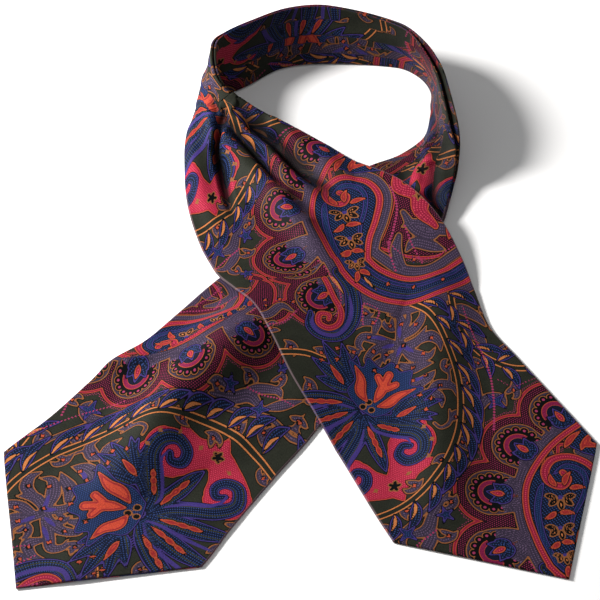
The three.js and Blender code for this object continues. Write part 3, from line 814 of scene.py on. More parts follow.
        for x, y in ((-52, 290), (-44, 296), (-70, 300), (46, 282), (-60, 10), (-72, 8)):
            self.strokes += star(Layer.VIOLET, (x, y), 3.2, 5, 15)
            self.strokes += star(Layer.RED, (x, y), 1.5, 4, 15)
        self.stars(Layer.RED, 1.8, 4, 45, (58, 254), (36, 262), (20, 275), (80, 256))

    def fields(self, x: Array, y: Array) -> dict[str, Array]:
        """Works the print out at places of the cloth.

        Args:
            x: across the cloth in mm.
            y: along the cloth in mm.

        Returns:
            Signed distances to each ink, offsets from the stems, pearl rows and fans.
        """
        left, right = self.mirrors
        y = np.mod(y, self.repeat)
        x = np.where(x > right, 2 * right - x, np.where(x < left, 2 * left - x, x))
        inks = {ink: np.full(x.shape, self.reach) for ink in Layer}
        flows = {ink: (np.zeros(x.shape), np.zeros(x.shape)) for ink in Layer}
        shifts = (-self.repeat, 0.0, self.repeat)
        for stroke in self.strokes:
            self.paint(stroke, x, y, inks[stroke.layer], flows[stroke.layer], shifts)
        out = {ink.name.lower(): values for ink, values in inks.items()}
        out["vine"], _ = self.follow(self.vines, x, y, shifts)
        away, out["pearl_run"] = self.follow(self.pearls, x, y, shifts)
        out["pearl"] = away**2
        out["fan_reach"], out["fan_run"] = self.spread(x, y, shifts)
        offset, run = flows[Layer.LAVENDER]
        for ink in (Layer.NAVY, Layer.CRIMSON):
            offset = np.where(inks[ink] < 0.9, flows[ink][0], offset)
            run = np.where(inks[ink] < 0.9, flows[ink][1], run)
        out["offset"], out["run"] = offset, run
        return out

    def paint(self, stroke: Stroke, x: Array, y: Array, ink: Array, flow: tuple[Array, Array],
              shifts: tuple[float, ...]) -> None:
        """Lowers an ink's distances to those of one stroke, near it.

        The distance from a stroke is the distance from its path less its radius there, and
        the distance from a region is that from its outline, negative inside.

        Args:
            stroke: the stroke.
            x: across the cloth in mm.
            y: along the cloth in mm.
            ink: the ink's distances, changed in place.
            flow: offset from the nearest stroke's middle and the run along it, changed too.
            shifts: the repeats that may reach the cloth.
        """
        points = stroke.points
        margin = 3.0 if stroke.filled else points[:, 2].max() + 3.0
        for shift in shifts:
            px, py = points[:, 0], points[:, 1] + shift
            near = near_box(x, y, px, py, margin)
            if not near.any():
                continue
            sx, sy = x[near], y[near]
            if stroke.filled:
                px, py = np.append(px, px[0]), np.append(py, py[0])
            best = np.full(sx.shape, self.reach)
            inside = np.zeros(sx.shape, dtype=bool)
            side, along, done = sx.copy(), sy.copy(), 0.0
            for k in range(len(px) - 1):
                dx, dy = px[k + 1] - px[k], py[k + 1] - py[k]
                length = math.hypot(dx, dy) + 1e-9
                ex, ey = sx - px[k], sy - py[k]
                share = np.clip((ex * dx + ey * dy) / length**2, 0, 1)
                away = np.hypot(ex - share * dx, ey - share * dy)
                if stroke.filled:
                    crosses = (py[k] > sy) != (py[k + 1] > sy)
                    inside ^= crosses & (sx < px[k] + (sy - py[k]) * dx / (dy if dy else 1e-9))
                    best = np.minimum(best, away)
                    continue
                gap = away - points[k, 2] - (points[k + 1, 2] - points[k, 2]) * share
                closer = gap < best
                best = np.where(closer, gap, best)
                side = np.where(closer, np.where(dx * ey - dy * ex < 0, -away, away), side)
                along = np.where(closer, done + share * length, along)
                done += length
            if stroke.filled:
                best = np.where(inside, -best, best)
            won = best < ink[near]
            ink[near] = np.where(won, best, ink[near])
            flow[0][near] = np.where(won, side, flow[0][near])
            flow[1][near] = np.where(won, along, flow[1][near])

    def follow(self, paths: list[Array], x: Array, y: Array,
               shifts: tuple[float, ...]) -> tuple[Array, Array]:
        """Where places lie beside the nearest of several paths.

        Args:
            paths: rows of (x, y) in mm.
            x: across the cloth in mm.
            y: along the cloth in mm.
            shifts: the repeats that may reach the cloth.

        Returns:
            Distance from the path, level from the reach on, and the run along it, in mm.
        """
        best = np.full(x.shape, self.reach)
        run = np.zeros(x.shape)
        for path in paths:
            for shift in shifts:
                px, py = path[:, 0], path[:, 1] + shift
                near = near_box(x, y, px, py, self.reach)
                if not near.any():
                    continue
                sx, sy = x[near], y[near]
                nearest, along = best[near], run[near]
                done = 0.0
                for k in range(len(px) - 1):
                    dx, dy = px[k + 1] - px[k], py[k + 1] - py[k]
                    length = math.hypot(dx, dy)
                    share = ((sx - px[k]) * dx + (sy - py[k]) * dy) / (length * length + 1e-9)
                    share = np.clip(share, 0, 1)
                    away = np.hypot(sx - px[k] - share * dx, sy - py[k] - share * dy)
                    closer = away < nearest
                    nearest = np.where(closer, away, nearest)
                    along = np.where(closer, done + share * length, along)
                    done += length
                best[near], run[near] = nearest, along
        return best, run

    def spread(self, x: Array, y: Array, shifts: tuple[float, ...]) -> tuple[Array, Array]:
        """Where places lie round the nearest fan's heart.

        Args:
            x: across the cloth in mm.
            y: along the cloth in mm.
            shifts: the repeats that may reach the cloth.

        Returns:
            Distance from the heart in mm, 40 at most, and the angle from the fan's
            direction in radians.
        """
        reach = np.full(x.shape, 40.0)
        angle = np.zeros(x.shape)
        for cx, cy, turn in self.fans:
            for shift in shifts:
                dx, dy = x - cx, y - cy - shift
                away = np.hypot(dx, dy)
                bearing = np.arctan2(dy, dx) - math.radians(turn)
                bearing = np.mod(bearing + math.pi, 2 * math.pi) - math.pi
                closer = away < reach
                reach = np.where(closer, away, reach)
                angle = np.where(closer, bearing, angle)
        return reach, angle


def linear(code: str) -> tuple[float, float, float, float]:
    """Linear colour of a hex sRGB code.

    Args:
        code: a hash sign and six hex digits.

    Returns:
        Red, green, blue and an alpha of 1.
    """
    values = [int(code[k:k + 2], 16) / 255 for k in (1, 3, 5)]
    values = [v / 12.92 if v <= 0.04045 else ((v + 0.055) / 1.055) ** 2.4 for v in values]
    return (*values, 1.0)


@dataclass
class NodeSheet:
    """Short ways to add shader nodes.

    Attributes:
        tree: the node tree.
    """

    tree: bpy.types.NodeTree

    def node(self, kind: str, link: dict[str | int, Socket | float]) -> bpy.types.Node:
        """A node with its inputs linked or set.

        Args:
            kind: Blender's name of the node.
            link: a socket or a number for each input's name or place.

        Returns:
            The node.
        """
        node = self.tree.nodes.new(kind)
        for key, value in link.items():
            self.feed(node.inputs[key], value)
        return node

    def feed(self, socket: Socket, value: Socket | float) -> None:
        """Links a socket to an input, or sets the input to a number.

        Args:
            socket: the input.
            value: what goes in.
        """
        if isinstance(value, Socket):
            self.tree.links.new(value, socket)
        else:
            socket.default_value = value

    def math(self, operation: str, *values: float | Socket) -> Socket:
        """The result of a math node.

        Args:
            operation: Blender's name of the sum.
            values: numbers or sockets.

        Returns:
            Its result.
        """
        node = self.node("ShaderNodeMath", dict(enumerate(values)))
        node.operation = operation
        return node.outputs[0]

    def add(self, one: Socket, other: Socket | float) -> Socket:
        """The sum of two values."""
        return self.math("ADD", one, other)

    def times(self, one: Socket, other: Socket | float) -> Socket:
        """The product of two values or masks."""
        return self.math("MULTIPLY", one, other)

    def below(self, value: Socket, limit: float) -> Socket:
        """1 where a value is under a limit."""
        return self.math("LESS_THAN", value, limit)

    def off(self, value: Socket, centre: float) -> Socket:
        """How far a value is from a centre."""
        return self.math("ABSOLUTE", self.add(value, -centre))

    def wrapped(self, value: Socket, step: float) -> Socket:
        """A value's place within its step, counted from the step's middle."""
        return self.add(self.math("FLOORED_MODULO", value, step), -step / 2)

    def squares(self, one: Socket, other: Socket) -> Socket:
        """The sum of two squares."""
        return self.add(self.times(one, one), self.times(other, other))

    def mix(self, mask: Socket | float, under: Socket | str, over: Socket | str,
            blend: str = "MIX") -> Socket:
        """Lays one colour over another where a mask says.

        Args:
            mask: share of the upper colour.
            under: the lower colour, a socket or hex code.
            over: the upper colour, a socket or hex code.
            blend: Blender's blend type.

        Returns:
            The mixed colour.
        """
        node = self.tree.nodes.new("ShaderNodeMix")
        node.data_type = "RGBA"
        node.blend_type = blend
        for key, value in ((0, mask), (6, under), (7, over)):
            self.feed(node.inputs[key], linear(value) if isinstance(value, str) else value)
        return node.outputs[2]

    def bands(self, colour: Socket, distance: Socket,
              bands: tuple[tuple[float, str], ...]) -> Socket:
        """Paints nested bands of a signed distance.

        Args:
            colour: what lies under them.
            distance: the signed distance.
            bands: upper limit and hex code of each, from the outside in.

        Returns:
            The colour with the bands.
        """
        for limit, code in bands:
            colour = self.mix(self.below(distance, limit), colour, code)
        return colour

    def inside(self, colour: Socket, mask: Socket, distance: Socket, limit: float,
               code: str) -> Socket:
        """Paints where a mask holds and a distance is under a limit.

        Args:
            colour: what lies under it.
            mask: 1 where it may be painted.
            distance: the signed distance.
            limit: its upper limit.
            code: hex code of the paint.

        Returns:
            The colour with the paint.
        """
        return self.mix(self.times(mask, self.below(distance, limit)), colour, code)

    def attribute(self, name: str) -> tuple[Socket, ...]:
        """The three numbers of a vector attribute.

        Args:
            name: the attribute's name.

        Returns:
            A socket for each number.
        """
        node = self.tree.nodes.new("ShaderNodeAttribute")
        node.attribute_name = name
        return tuple(self.node("ShaderNodeSeparateXYZ", {0: node.outputs["Vector"]}).outputs)


@dataclass(frozen=True)
class PrintedSilk:
    """Silk twill with the paisley in its inks, each a hex code. Lengths are in mm.

    A name that ends in dot is the colour of the dots on that ink.

    Attributes:
        ground: dark olive of the ground, mottled with ground_light, and the vines' middle.
        key: near-black line round every shape, and the colour of the painted shade in troughs.
        gold: thin outlines, with core for stems and hearts of leaves.
        hem_highlight: painted highlight along the hem, where its edge would catch the light.
        depth: power that deepens the dark inks.
        strength: how strong the colours are kept.
        value: how light the inks are kept.
        trough: strength of the painted shade in a deep trough.
        hem: width and share of the painted highlight along the hem.
        roughness: of the silk.
        specular: strength of its reflections.
        sheen: strength and roughness of its soft sheen.
        bump: strength of the ribs and their height in metres.
        twill: distance between ribs.
        dot_steps: steps of the stipple across and along.
        bead_steps: steps of the beads across and along a stroke.
        pearl_step: step of a row of pearls.
        round_sizes: squared radii of a stipple dot, a bead and a pearl.
        fan_radius: radius on which a fan's scallops sit.
        fan_angle: half the angle of a fan's scallops in radians.
        fan_bow: half the angle of its inner ring in radians.
        fan_lobes: how many scallops a fan has.
    """

    ground: str = "#292b24"
    ground_light: str = "#35372e"
    maroon: str = "#22141b"
    maroon_dot: str = "#8a2850"
    key: str = "#0e0f11"
    gold: str = "#8d5a33"
    lavender: str = "#3e3547"
    lavender_dot: str = "#67556f"
    navy: str = "#141b30"
    navy_dot: str = "#32497c"
    violet: str = "#443678"
    stripe: str = "#3f3f28"
    blue: str = "#1a2a4c"
    crimson: str = "#8c1538"
    scarlet: str = "#9c163a"
    hem_highlight: str = "#8f7780"
    crimson_dot: str = "#c2405a"
    orange: str = "#a8492c"
    magenta: str = "#7d1646"
    pearl: str = "#9a3460"
    red: str = "#92262a"
    red_dot: str = "#b8442a"
    core: str = "#b87440"
    depth: float = 1.14
    strength: float = 0.97
    value: float = 0.77
    trough: float = 0.9
    hem: Place = (1.15, 0.4)
    roughness: float = 0.6
    specular: float = 0.05
    sheen: Place = (0.01, 0.4)
    bump: Place = (0.13, 0.0001)
    twill: float = 0.9
    dot_steps: Place = (1.6, 1.35)
    bead_steps: Place = (1.9, 1.6)
    pearl_step: float = 2.4
    round_sizes: tuple[float, float, float] = (0.16, 0.2, 0.85)
    fan_radius: float = 13.4
    fan_angle: float = 2.15
    fan_bow: float = 1.6
    fan_lobes: int = 10

    def material(self, name: str) -> bpy.types.Material:
        """Makes the material, which reads the piece's cloth attributes.

        Args:
            name: its name.

        Returns:
            The material.
        """
        material = bpy.data.materials.new(name)
        material.use_nodes = True
        sheet = NodeSheet(material.node_tree)
        x, y, _ = sheet.attribute("cloth")
        _, painted_shade, hem = sheet.attribute("more")
        colour = self.printed(sheet, x, y)
        shade, height = self.weave(sheet, x, y)
        colour = sheet.mix(1.0, colour, shade, "MULTIPLY")
        # Painted shade: near-black mixed into troughs and onto the loop's inner face.
        colour = sheet.mix(sheet.times(painted_shade, self.trough), colour, self.key)
        # Painted highlight: a light line along every long edge.
        hem_highlight_mask = sheet.times(sheet.below(hem, self.hem[0]), self.hem[1])
        colour = sheet.mix(hem_highlight_mask, colour, self.hem_highlight)
        deep = sheet.node("ShaderNodeGamma", {"Color": colour, "Gamma": self.depth})
        dull = sheet.node("ShaderNodeHueSaturation", {
            "Saturation": self.strength, "Value": self.value, "Color": deep.outputs["Color"]})
        bump = sheet.node("ShaderNodeBump", {
            "Strength": self.bump[0], "Distance": self.bump[1], "Height": height})
        bsdf = material.node_tree.nodes["Principled BSDF"]
        for key, value in (("Base Color", dull.outputs["Color"]), ("Roughness", self.roughness),
                           ("Specular IOR Level", self.specular), ("Sheen Weight", self.sheen[0]),
                           ("Sheen Roughness", self.sheen[1]), ("Normal", bump.outputs["Normal"])):
            sheet.feed(bsdf.inputs[key], value)
        return material

    def printed(self, sheet: NodeSheet, x: Socket, y: Socket) -> Socket:
        """Colour of the print, from the ground to the top ink.

        Args:
            sheet: where its nodes go.
            x: across the cloth in mm.
            y: along the cloth in mm.

        Returns:
            The colour.
        """
        _, _, maroon = sheet.attribute("cloth")
        heart, _, _ = sheet.attribute("more")
        dots = self.dots(sheet, x, y)
        colour = sheet.mix(self.noise(sheet, x, y, 0.16, 3.0), self.ground, self.ground_light)
        colour = sheet.inside(colour, dots, sheet.off(maroon, 2.0), 0.8, self.pearl)
        colour = sheet.bands(colour, maroon, ((1.0, self.key), (0.6, self.orange),
                                              (0.1, self.crimson), (-1.2, self.orange),
                                              (-1.7, self.maroon)))
        colour = sheet.inside(colour, dots, maroon, -2.4, self.maroon_dot)
        colour = sheet.bands(colour, heart, ((1.3, self.key), (0.7, self.orange),
                                             (0.1, self.scarlet)))
        colour = sheet.inside(colour, dots, heart, -0.8, self.crimson_dot)
        return self.pearls(sheet, self.inks(sheet, colour, dots))

    def dots(self, sheet: NodeSheet, x: Socket, y: Socket) -> Socket:
        """Stipple: small dots in rows that are shifted by half a step in turn.

        Args:
            sheet: where its nodes go.
            x: across the cloth in mm.
            y: along the cloth in mm.

        Returns:
            1 on the dots.
        """
        across, along = self.dot_steps
        row = sheet.math("FLOOR", sheet.math("DIVIDE", y, along))
        shift = sheet.times(sheet.math("FLOORED_MODULO", row, 2.0), across / 2)
        far = sheet.squares(sheet.wrapped(sheet.add(x, shift), across), sheet.wrapped(y, along))
        return sheet.below(far, self.round_sizes[0])

    def beads(self, sheet: NodeSheet, offset: Socket, run: Socket) -> Socket:
        """Beads in rows that follow a stroke.

        Args:
            sheet: where its nodes go.
            offset: distance from the stroke's middle in mm.
            run: distance along it in mm.

        Returns:
            1 on the beads.
        """
        across, along = self.bead_steps
        side = sheet.wrapped(sheet.add(offset, across / 2), across)
        far = sheet.squares(side, sheet.wrapped(run, along))
        return sheet.below(far, self.round_sizes[1])

    def noise(self, sheet: NodeSheet, x: Socket, y: Socket, scale: float, detail: float) -> Socket:
        """Noise in cloth coordinates.

        Args:
            sheet: where its nodes go.
            x: across the cloth in mm.
            y: along the cloth in mm.
            scale: how many lumps a mm has.
            detail: how many finer layers it has.

        Returns:
            A value from 0 to 1.
        """
        place = sheet.node("ShaderNodeCombineXYZ", {0: x, 1: y})
        return sheet.node("ShaderNodeTexNoise", {
            "Scale": scale, "Detail": detail, "Vector": place.outputs[0]}).outputs[0]

    def weave(self, sheet: NodeSheet, x: Socket, y: Socket) -> tuple[Socket, Socket]:
        """Diagonal twill ribs, uneven in shade.

        Args:
            sheet: where its nodes go.
            x: across the cloth in mm.
            y: along the cloth in mm.

        Returns:
            A grey that shades the print, and the ribs' height.
        """
        slant = sheet.add(x, sheet.times(y, 0.8))
        rib = sheet.math("SINE", sheet.times(slant, 2 * math.pi / self.twill))
        grain = self.noise(sheet, x, y, 1.1, 2.0)
        level = sheet.add(sheet.add(sheet.times(rib, 0.08), sheet.times(grain, 1.3)), 0.38)
        grey = sheet.node("ShaderNodeCombineColor", {0: level, 1: level, 2: level})
        return grey.outputs[0], rib

    def inks(self, sheet: NodeSheet, colour: Socket, stipple: Socket) -> Socket:
        """Lays the inks over the fields, each with its outline and its rows of beads.

        Args:
            sheet: where its nodes go.
            colour: what lies under them.
            stipple: 1 on the stipple's dots.

        Returns:
            The colour with the inks.
        """
        _, _, offset = sheet.attribute("rows")
        _, _, run = sheet.attribute("fans")
        lavender, navy, crimson = sheet.attribute("inks_a")
        dark, red, gold = sheet.attribute("inks_b")
        violet, blue, vine = sheet.attribute("inks_c")
        beads = self.beads(sheet, offset, run)
        stripe = sheet.below(sheet.off(sheet.math("ABSOLUTE", offset), 2.85), 0.36)
        colour = sheet.bands(colour, lavender, ((1.05, self.key), (0.45, self.gold),
                                                (-0.35, self.lavender)))
        colour = sheet.inside(colour, beads, lavender, -0.9, self.lavender_dot)
        colour = self.fan(sheet, colour)
        colour = sheet.bands(colour, vine, ((3.0, self.key), (1.5, self.ground)))
        colour = sheet.bands(colour, sheet.off(vine, 2.1), ((0.5, self.core),))
        colour = sheet.bands(colour, navy, ((1.0, self.key), (0.4, self.violet),
                                            (-0.35, self.navy)))
        colour = sheet.inside(colour, beads, navy, -0.8, self.navy_dot)
        colour = sheet.inside(colour, stripe, navy, -0.9, self.stripe)
        colour = sheet.bands(colour, violet, ((0.0, self.violet),))
        colour = sheet.bands(colour, blue, ((0.9, self.key), (0.4, self.violet),
                                            (-0.2, self.blue)))
        colour = sheet.inside(colour, stipple, blue, -0.7, self.navy_dot)
        colour = sheet.bands(colour, crimson, ((1.0, self.key), (0.45, self.orange),
                                               (-0.35, self.crimson)))
        colour = sheet.inside(colour, beads, crimson, -0.8, self.crimson_dot)
        colour = sheet.bands(colour, dark, ((0.45, self.gold), (-0.3, self.key)))
        colour = sheet.bands(colour, red, ((0.8, self.key), (0.25, self.orange),
                                           (-0.45, self.red), (-1.5, self.red_dot)))
        return sheet.bands(colour, gold, ((0.5, self.key), (0.0, self.core)))

    def fan(self, sheet: NodeSheet, colour: Socket) -> Socket:
        """The scalloped fans, drawn in distance and angle round each fan's heart.

        Args:
            sheet: where its nodes go.
            colour: what lies under them.

        Returns:
            The colour with the fans.
        """
        reach, angle, _ = sheet.attribute("fans")
        spread = sheet.math("ABSOLUTE", angle)
        lobed, bowed = sheet.below(spread, self.fan_angle), sheet.below(spread, self.fan_bow)
        pitch = self.fan_radius * 2 * self.fan_angle / self.fan_lobes
        run = sheet.add(sheet.times(angle, self.fan_radius), pitch / 2)
        lobe = sheet.math("SQRT", sheet.squares(sheet.wrapped(run, pitch),
                                                sheet.add(reach, -self.fan_radius)))
        ring = sheet.off(reach, 8.3)
        for mask, distance, limit, code in (
                (lobed, lobe, 3.5, self.key), (lobed, lobe, 3.1, self.gold),
                (lobed, lobe, 2.5, self.key), (lobed, reach, 13.2, self.key),
                (lobed, lobe, 1.0, self.pearl), (bowed, ring, 1.9, self.orange),
                (bowed, ring, 1.4, self.magenta), (lobed, reach, 6.6, self.navy)):
            colour = sheet.inside(colour, mask, distance, limit, code)
        return colour

    def pearls(self, sheet: NodeSheet, colour: Socket) -> Socket:
        """Rows of pearls, drawn in the squared distance from a path and the run along it.

        Args:
            sheet: where its nodes go.
            colour: what lies under them.

        Returns:
            The colour with the pearls.
        """
        squared, run, _ = sheet.attribute("rows")
        along = sheet.wrapped(run, self.pearl_step)
        far = sheet.add(sheet.times(along, along), squared)
        return sheet.mix(sheet.below(far, self.round_sizes[2]), colour, self.pearl)


class Face(Enum):
    """The two faces of the cloth."""

    OUTER = "outer"
    INNER = "inner"


class Rim(Enum):
    """How a side of a piece ends."""

    ROUNDED = "rounded"
    BUTTED = "butted"


@dataclass
class Shell:
    """A closed cloth mesh with a cloth coordinate for each vertex.

    Attributes:
        points: vertex positions in mm.
        quads: vertex numbers of each face.
        stations: station of each vertex in mm.
        across: across value of each vertex.
        outer: 1 on the outer face, 0 on the inner face.
    """

    points: Array
    quads: Array
    stations: Array
    across: Array
    outer: Array


# Where pleats and tucks hide cloth. Pleats: rows of (station, across, share of the hidden
# width). Tucks: rows of (across, station) and of (station, across).
PLEAT_LINES = (
    ((394, 0.26, 0), (408, 0.28, 0.1), (430, 0.33, 0.3), (452, 0.39, 0.33), (460, 0.5, 0.33),
     (475, 0.56, 0.33), (492, 0.5, 0.33), (540, 0.2, 0.33), (800, 0.2, 0.33), (860, 0.24, 0.2),
     (930, 0.3, 0)),
    ((375, 0.58, 0), (395, 0.59, 0.2), (412, 0.61, 0.33), (430, 0.63, 0.33), (446, 0.64, 0.33),
     (458, 0.65, 0.33), (475, 0.66, 0.33), (492, 0.66, 0.33), (540, 0.5, 0.33), (800, 0.5, 0.33),
     (845, 0.6, 0.25), (930, 0.6, 0)),
    ((350, 0.75, 0), (372, 0.76, 0.2), (392, 0.76, 0.3), (425, 0.8, 0.33), (447, 0.8, 0.33),
     (466, 0.86, 0.33), (540, 0.8, 0.33), (800, 0.7, 0.33), (838, 0.84, 0.33), (860, 0.93, 0.2),
     (930, 0.95, 0)),
)
FRONT_TUCK = ((0.0, 342), (0.14, 322), (0.24, 316), (0.38, 314), (0.49, 312), (1.0, 312))
BACK_TUCK = ((985, 0.38), (997, 0.34), (1019, 0.28), (1038, 0.21), (1056, 0.16), (1073, 0.1),
             (1096, 0.0))


@dataclass
class ClothPiece:
    """One named stretch of the ribbon, built as a closed shell.

    Attributes:
        name: piece name.
        node: the solid that it stands for.
        ribbon: the ribbon that it is a stretch of.
        paisley: the print that it is cut from.
        silk: the cloth's look.
        rows: grid steps along the ribbon.
        columns: grid steps across it.
        flat: width and length of its cut, in metres.
        ends: how its front end and its back end are closed.
        rests_on: pieces under it; not used.
    """

    name: str
    node: str
    ribbon: Ribbon
    paisley: PaisleyPrint
    silk: PrintedSilk
    rows: int
    columns: int
    flat: Place
    ends: tuple[Rim, Rim]
    rests_on: tuple[str, ...] = ()

    def stations(self, along: Array, across: Array) -> Array:
        """Stations of places on the piece, which each piece works out in its own way.

        Args:
            along: share of the piece's length.
            across: share of its width.

        Returns:
            Stations in mm.
        """
        raise NotImplementedError

    def shares(self, at: Array, across: Array) -> Array:
        """Across values on the ribbon of places on the piece.

        Args:
            at: stations in mm.
            across: share of the piece's width.

        Returns:
            0 at the ribbon's low edge, 1 at its high edge.
        """
        return across

    def offsets(self, at: Array, across: Array, face: Face) -> Array:
        """How far a face lies out of the ribbon's inner face.

        Args:
            at: stations in mm.
            across: 0 at the low edge, 1 at the high edge.
            face: which face.

        Returns:
            Distances in mm.
        """
        return np.full(at.shape, WALL if face is Face.OUTER else 0.0)

    def lift(self, at: Array, across: Array) -> Array | float:
        """Extra height above the ribbon's own place.

        Args:
            at: stations in mm.
            across: 0 at the low edge, 1 at the high edge.

        Returns:
            Heights in mm.
        """
        return 0.0

    def grid(self, face: Face) -> tuple[Array, Array, Array]:
        """One face's grid of points.

        Args:
            face: which face.

        Returns:
            Points in mm, stations and across values, each as rows by columns.
        """
        inset = 0.5 * WALL
        along = np.linspace(0, 1, self.rows + 1)
        over = np.linspace(0, 1, self.columns + 1)
        along, over = np.meshgrid(along, over, indexing="ij")
        length = self.flat[1] / MM
        start = inset / length if self.ends[0] is Rim.ROUNDED else 0.0
        stop = inset / length if self.ends[1] is Rim.ROUNDED else 0.0
        along = start + along * (1 - start - stop)
        at = self.stations(along, over)
        margin = inset / self.ribbon.width(at)
        at = self.stations(along, margin + over * (1 - 2 * margin))
        across = self.shares(at, margin + over * (1 - 2 * margin))
        points = self.ribbon.place(at, across, self.offsets(at, across, face),
                                   self.lift(at, across))
        return points, at, across

    def rim_loop(self) -> tuple[Array, Array, Array]:
        """The grid's border in order.

        Returns:
            Row numbers, column numbers and how far each bulges, from 0 to 1.
        """
        n, m = self.rows, self.columns
        row = np.concatenate([np.zeros(m), np.arange(n), np.full(m, n), np.arange(n, 0, -1)])
        column = np.concatenate([np.arange(m), np.full(n, m), np.arange(m, 0, -1), np.zeros(n)])
        row, column = row.astype(int), column.astype(int)
        bulge = np.ones(len(row))
        if self.ends[0] is Rim.BUTTED:
            bulge[row == 0] = 0
        if self.ends[1] is Rim.BUTTED:
            bulge[row == n] = 0
        return row, column, bulge

    def shell(self) -> Shell:
        """Both faces joined by a half-round rim.

        Returns:
            The closed shell, its faces pointing outwards.
        """
        outer, at, across = self.grid(Face.OUTER)
        inner, _, _ = self.grid(Face.INNER)
        n, m = self.rows, self.columns
        count = (n + 1) * (m + 1)
        number = np.arange(count).reshape(n + 1, m + 1)
        top = np.stack([number[:-1, :-1], number[:-1, 1:], number[1:, 1:], number[1:, :-1]], -1)
        top = top.reshape(-1, 4)
        bottom = top[:, ::-1] + count
        row, column, bulge = self.rim_loop()
        step_in = (np.clip(row, 1, n - 1), np.clip(column, 1, m - 1))
        high, low = outer[row, column], inner[row, column]
        middle = 0.5 * (high + low)
        away = middle - 0.5 * (outer[step_in] + inner[step_in])
        away /= np.maximum(np.linalg.norm(away, axis=1, keepdims=True), 1e-9)
        half = 0.5 * (high - low)
        radius = np.linalg.norm(half, axis=1, keepdims=True)
        turns = np.radians([50.0, 0.0, -50.0])
        rings = [middle + half * math.sin(turn) + away * radius * math.cos(turn) * bulge[:, None]
                 for turn in turns]
        border = number[row, column]
        loop = len(row)
        loops = [2 * count + k * loop + np.arange(loop) for k in range(3)]
        bands = [border, *loops, border + count]
        sides = [np.stack([upper, under, np.roll(under, -1), np.roll(upper, -1)], -1)
                 for upper, under in zip(bands[:-1], bands[1:])]
        points = np.concatenate([outer.reshape(-1, 3), inner.reshape(-1, 3)] + rings)
        points[:, 2] = np.maximum(points[:, 2], 0)
        at_all = np.concatenate([at.ravel(), at.ravel()] + 3 * [at[row, column]])
        across_all = np.concatenate([across.ravel(), across.ravel()] + 3 * [across[row, column]])
        is_outer = np.repeat([1.0, 0.0, 1.0, 0.0], [count, count, 2 * loop, loop])
        quads = np.concatenate([top, bottom] + sides)
        return Shell(points, quads, at_all, across_all, is_outer)

    def build(self) -> bpy.types.Object:
        """Makes the Blender object, with its cloth coordinates as attributes.

        Returns:
            The object, at the origin, its place in its mesh.
        """
        shell = self.shell()
        mesh = bpy.data.meshes.new(self.name)
        mesh.vertices.add(len(shell.points))
        mesh.vertices.foreach_set("co", (shell.points * MM).astype(np.float32).ravel())
        mesh.loops.add(shell.quads.size)
        mesh.loops.foreach_set("vertex_index", shell.quads.astype(np.int32).ravel())
        mesh.polygons.add(len(shell.quads))
        mesh.polygons.foreach_set("loop_start", np.arange(0, shell.quads.size, 4, dtype=np.int32))
        mesh.update(calc_edges=True)
        mesh.validate()
        mesh.polygons.foreach_set("use_smooth", np.ones(len(mesh.polygons), dtype=bool))
        mesh.set_sharp_from_angle(angle=math.radians(SHARP_ANGLE))
        piece = bpy.data.objects.new(self.name, mesh)
        bpy.context.scene.collection.objects.link(piece)
        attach(piece, "root")
        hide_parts(self.node)
        area = self.shown_area()
        LOG.info("%s: %d faces, %.4f square metres of cloth", self.name, len(shell.quads), area)
        self.dress(piece, shell)
        return piece

    def shown_area(self) -> float:
        """Area of the cloth that shows, along the middle of the wall.

        Returns:
            Square metres: the triangles of a grid added up, and the whole cut at most.
        """
        along, over = np.meshgrid(np.linspace(0, 1, 200), np.linspace(0, 1, 40), indexing="ij")
        at = self.stations(along, over)
        across = self.shares(at, over)
        p = self.ribbon.place(at, across, np.full(at.shape, 0.5 * WALL)) * MM
        one = np.cross(p[1:, :-1] - p[:-1, :-1], p[:-1, 1:] - p[:-1, :-1])
        two = np.cross(p[1:, :-1] - p[1:, 1:], p[:-1, 1:] - p[1:, 1:])
        area = 0.5 * (np.linalg.norm(one, axis=-1).sum() + np.linalg.norm(two, axis=-1).sum())
        return float(min(area, self.flat[0] * self.flat[1]))

    def cloth_place(self, shell: Shell) -> tuple[Array, Array]:
        """Where each vertex lies on the printed cloth, in mm across and along.

        The outer face carries the print as it runs from the front point, and the inner
        face as it runs from the back point. A pleat's hidden cloth is a jump across.

        Args:
            shell: the piece's vertices.

        Returns:
            Places across and along the cloth.
        """
        width = self.ribbon.width(shell.stations)
        over = (shell.across - 0.5) * width
        hidden = np.maximum(CLOTH_WIDTH - HEM_WIDTH - width, 0)
        jumped = np.zeros(over.shape)
        pleated = np.zeros(over.shape)
        for rows in PLEAT_LINES:
            at, lines_at, shares = zip(*rows)
            line_at = np.interp(shell.stations, at, lines_at)
            share = np.interp(shell.stations, at, shares)
            pleated += share
            jumped += share * (np.where(shell.across > line_at, 1, 0) - 0.5)
        rest = (width + hidden * (1 - pleated)) / width
        over = over * rest + hidden * jumped
        front_x, front_y = over, self.front_run(shell)
        tucked = ease(1110, 1050, shell.stations) * self.past_back_tuck(shell)
        back_x = -over + BACK_PRINT_PLACE[0] + BACK_TUCK_JUMP[0] * tucked
        back_y = shell.stations + BACK_PRINT_PLACE[1] + BACK_TUCK_JUMP[1] * tucked
        outer = shell.outer > 0.5
        return np.where(outer, front_x, back_x), np.where(outer, front_y, back_y)

    @staticmethod
    def front_run(shell: Shell) -> Array:
        """Place along the cloth on the outer face, which jumps at the front tuck.

        Args:
            shell: the piece's vertices.

        Returns:
            The station, and the jump past the tuck, which fades out to the high edge.
        """
        tuck_at = np.interp(shell.across, *zip(*FRONT_TUCK))
        jump = FRONT_TUCK_JUMP * (1 - ease(0.35, 0.62, shell.across))
        return shell.stations + np.where(shell.stations > tuck_at, jump, 0)

    @staticmethod
    def past_back_tuck(shell: Shell) -> Array:
        """1 on the high side of the back blade's tuck, 0 on the low side."""
        return np.where(shell.across > np.interp(shell.stations, *zip(*BACK_TUCK)), 1.0, 0.0)

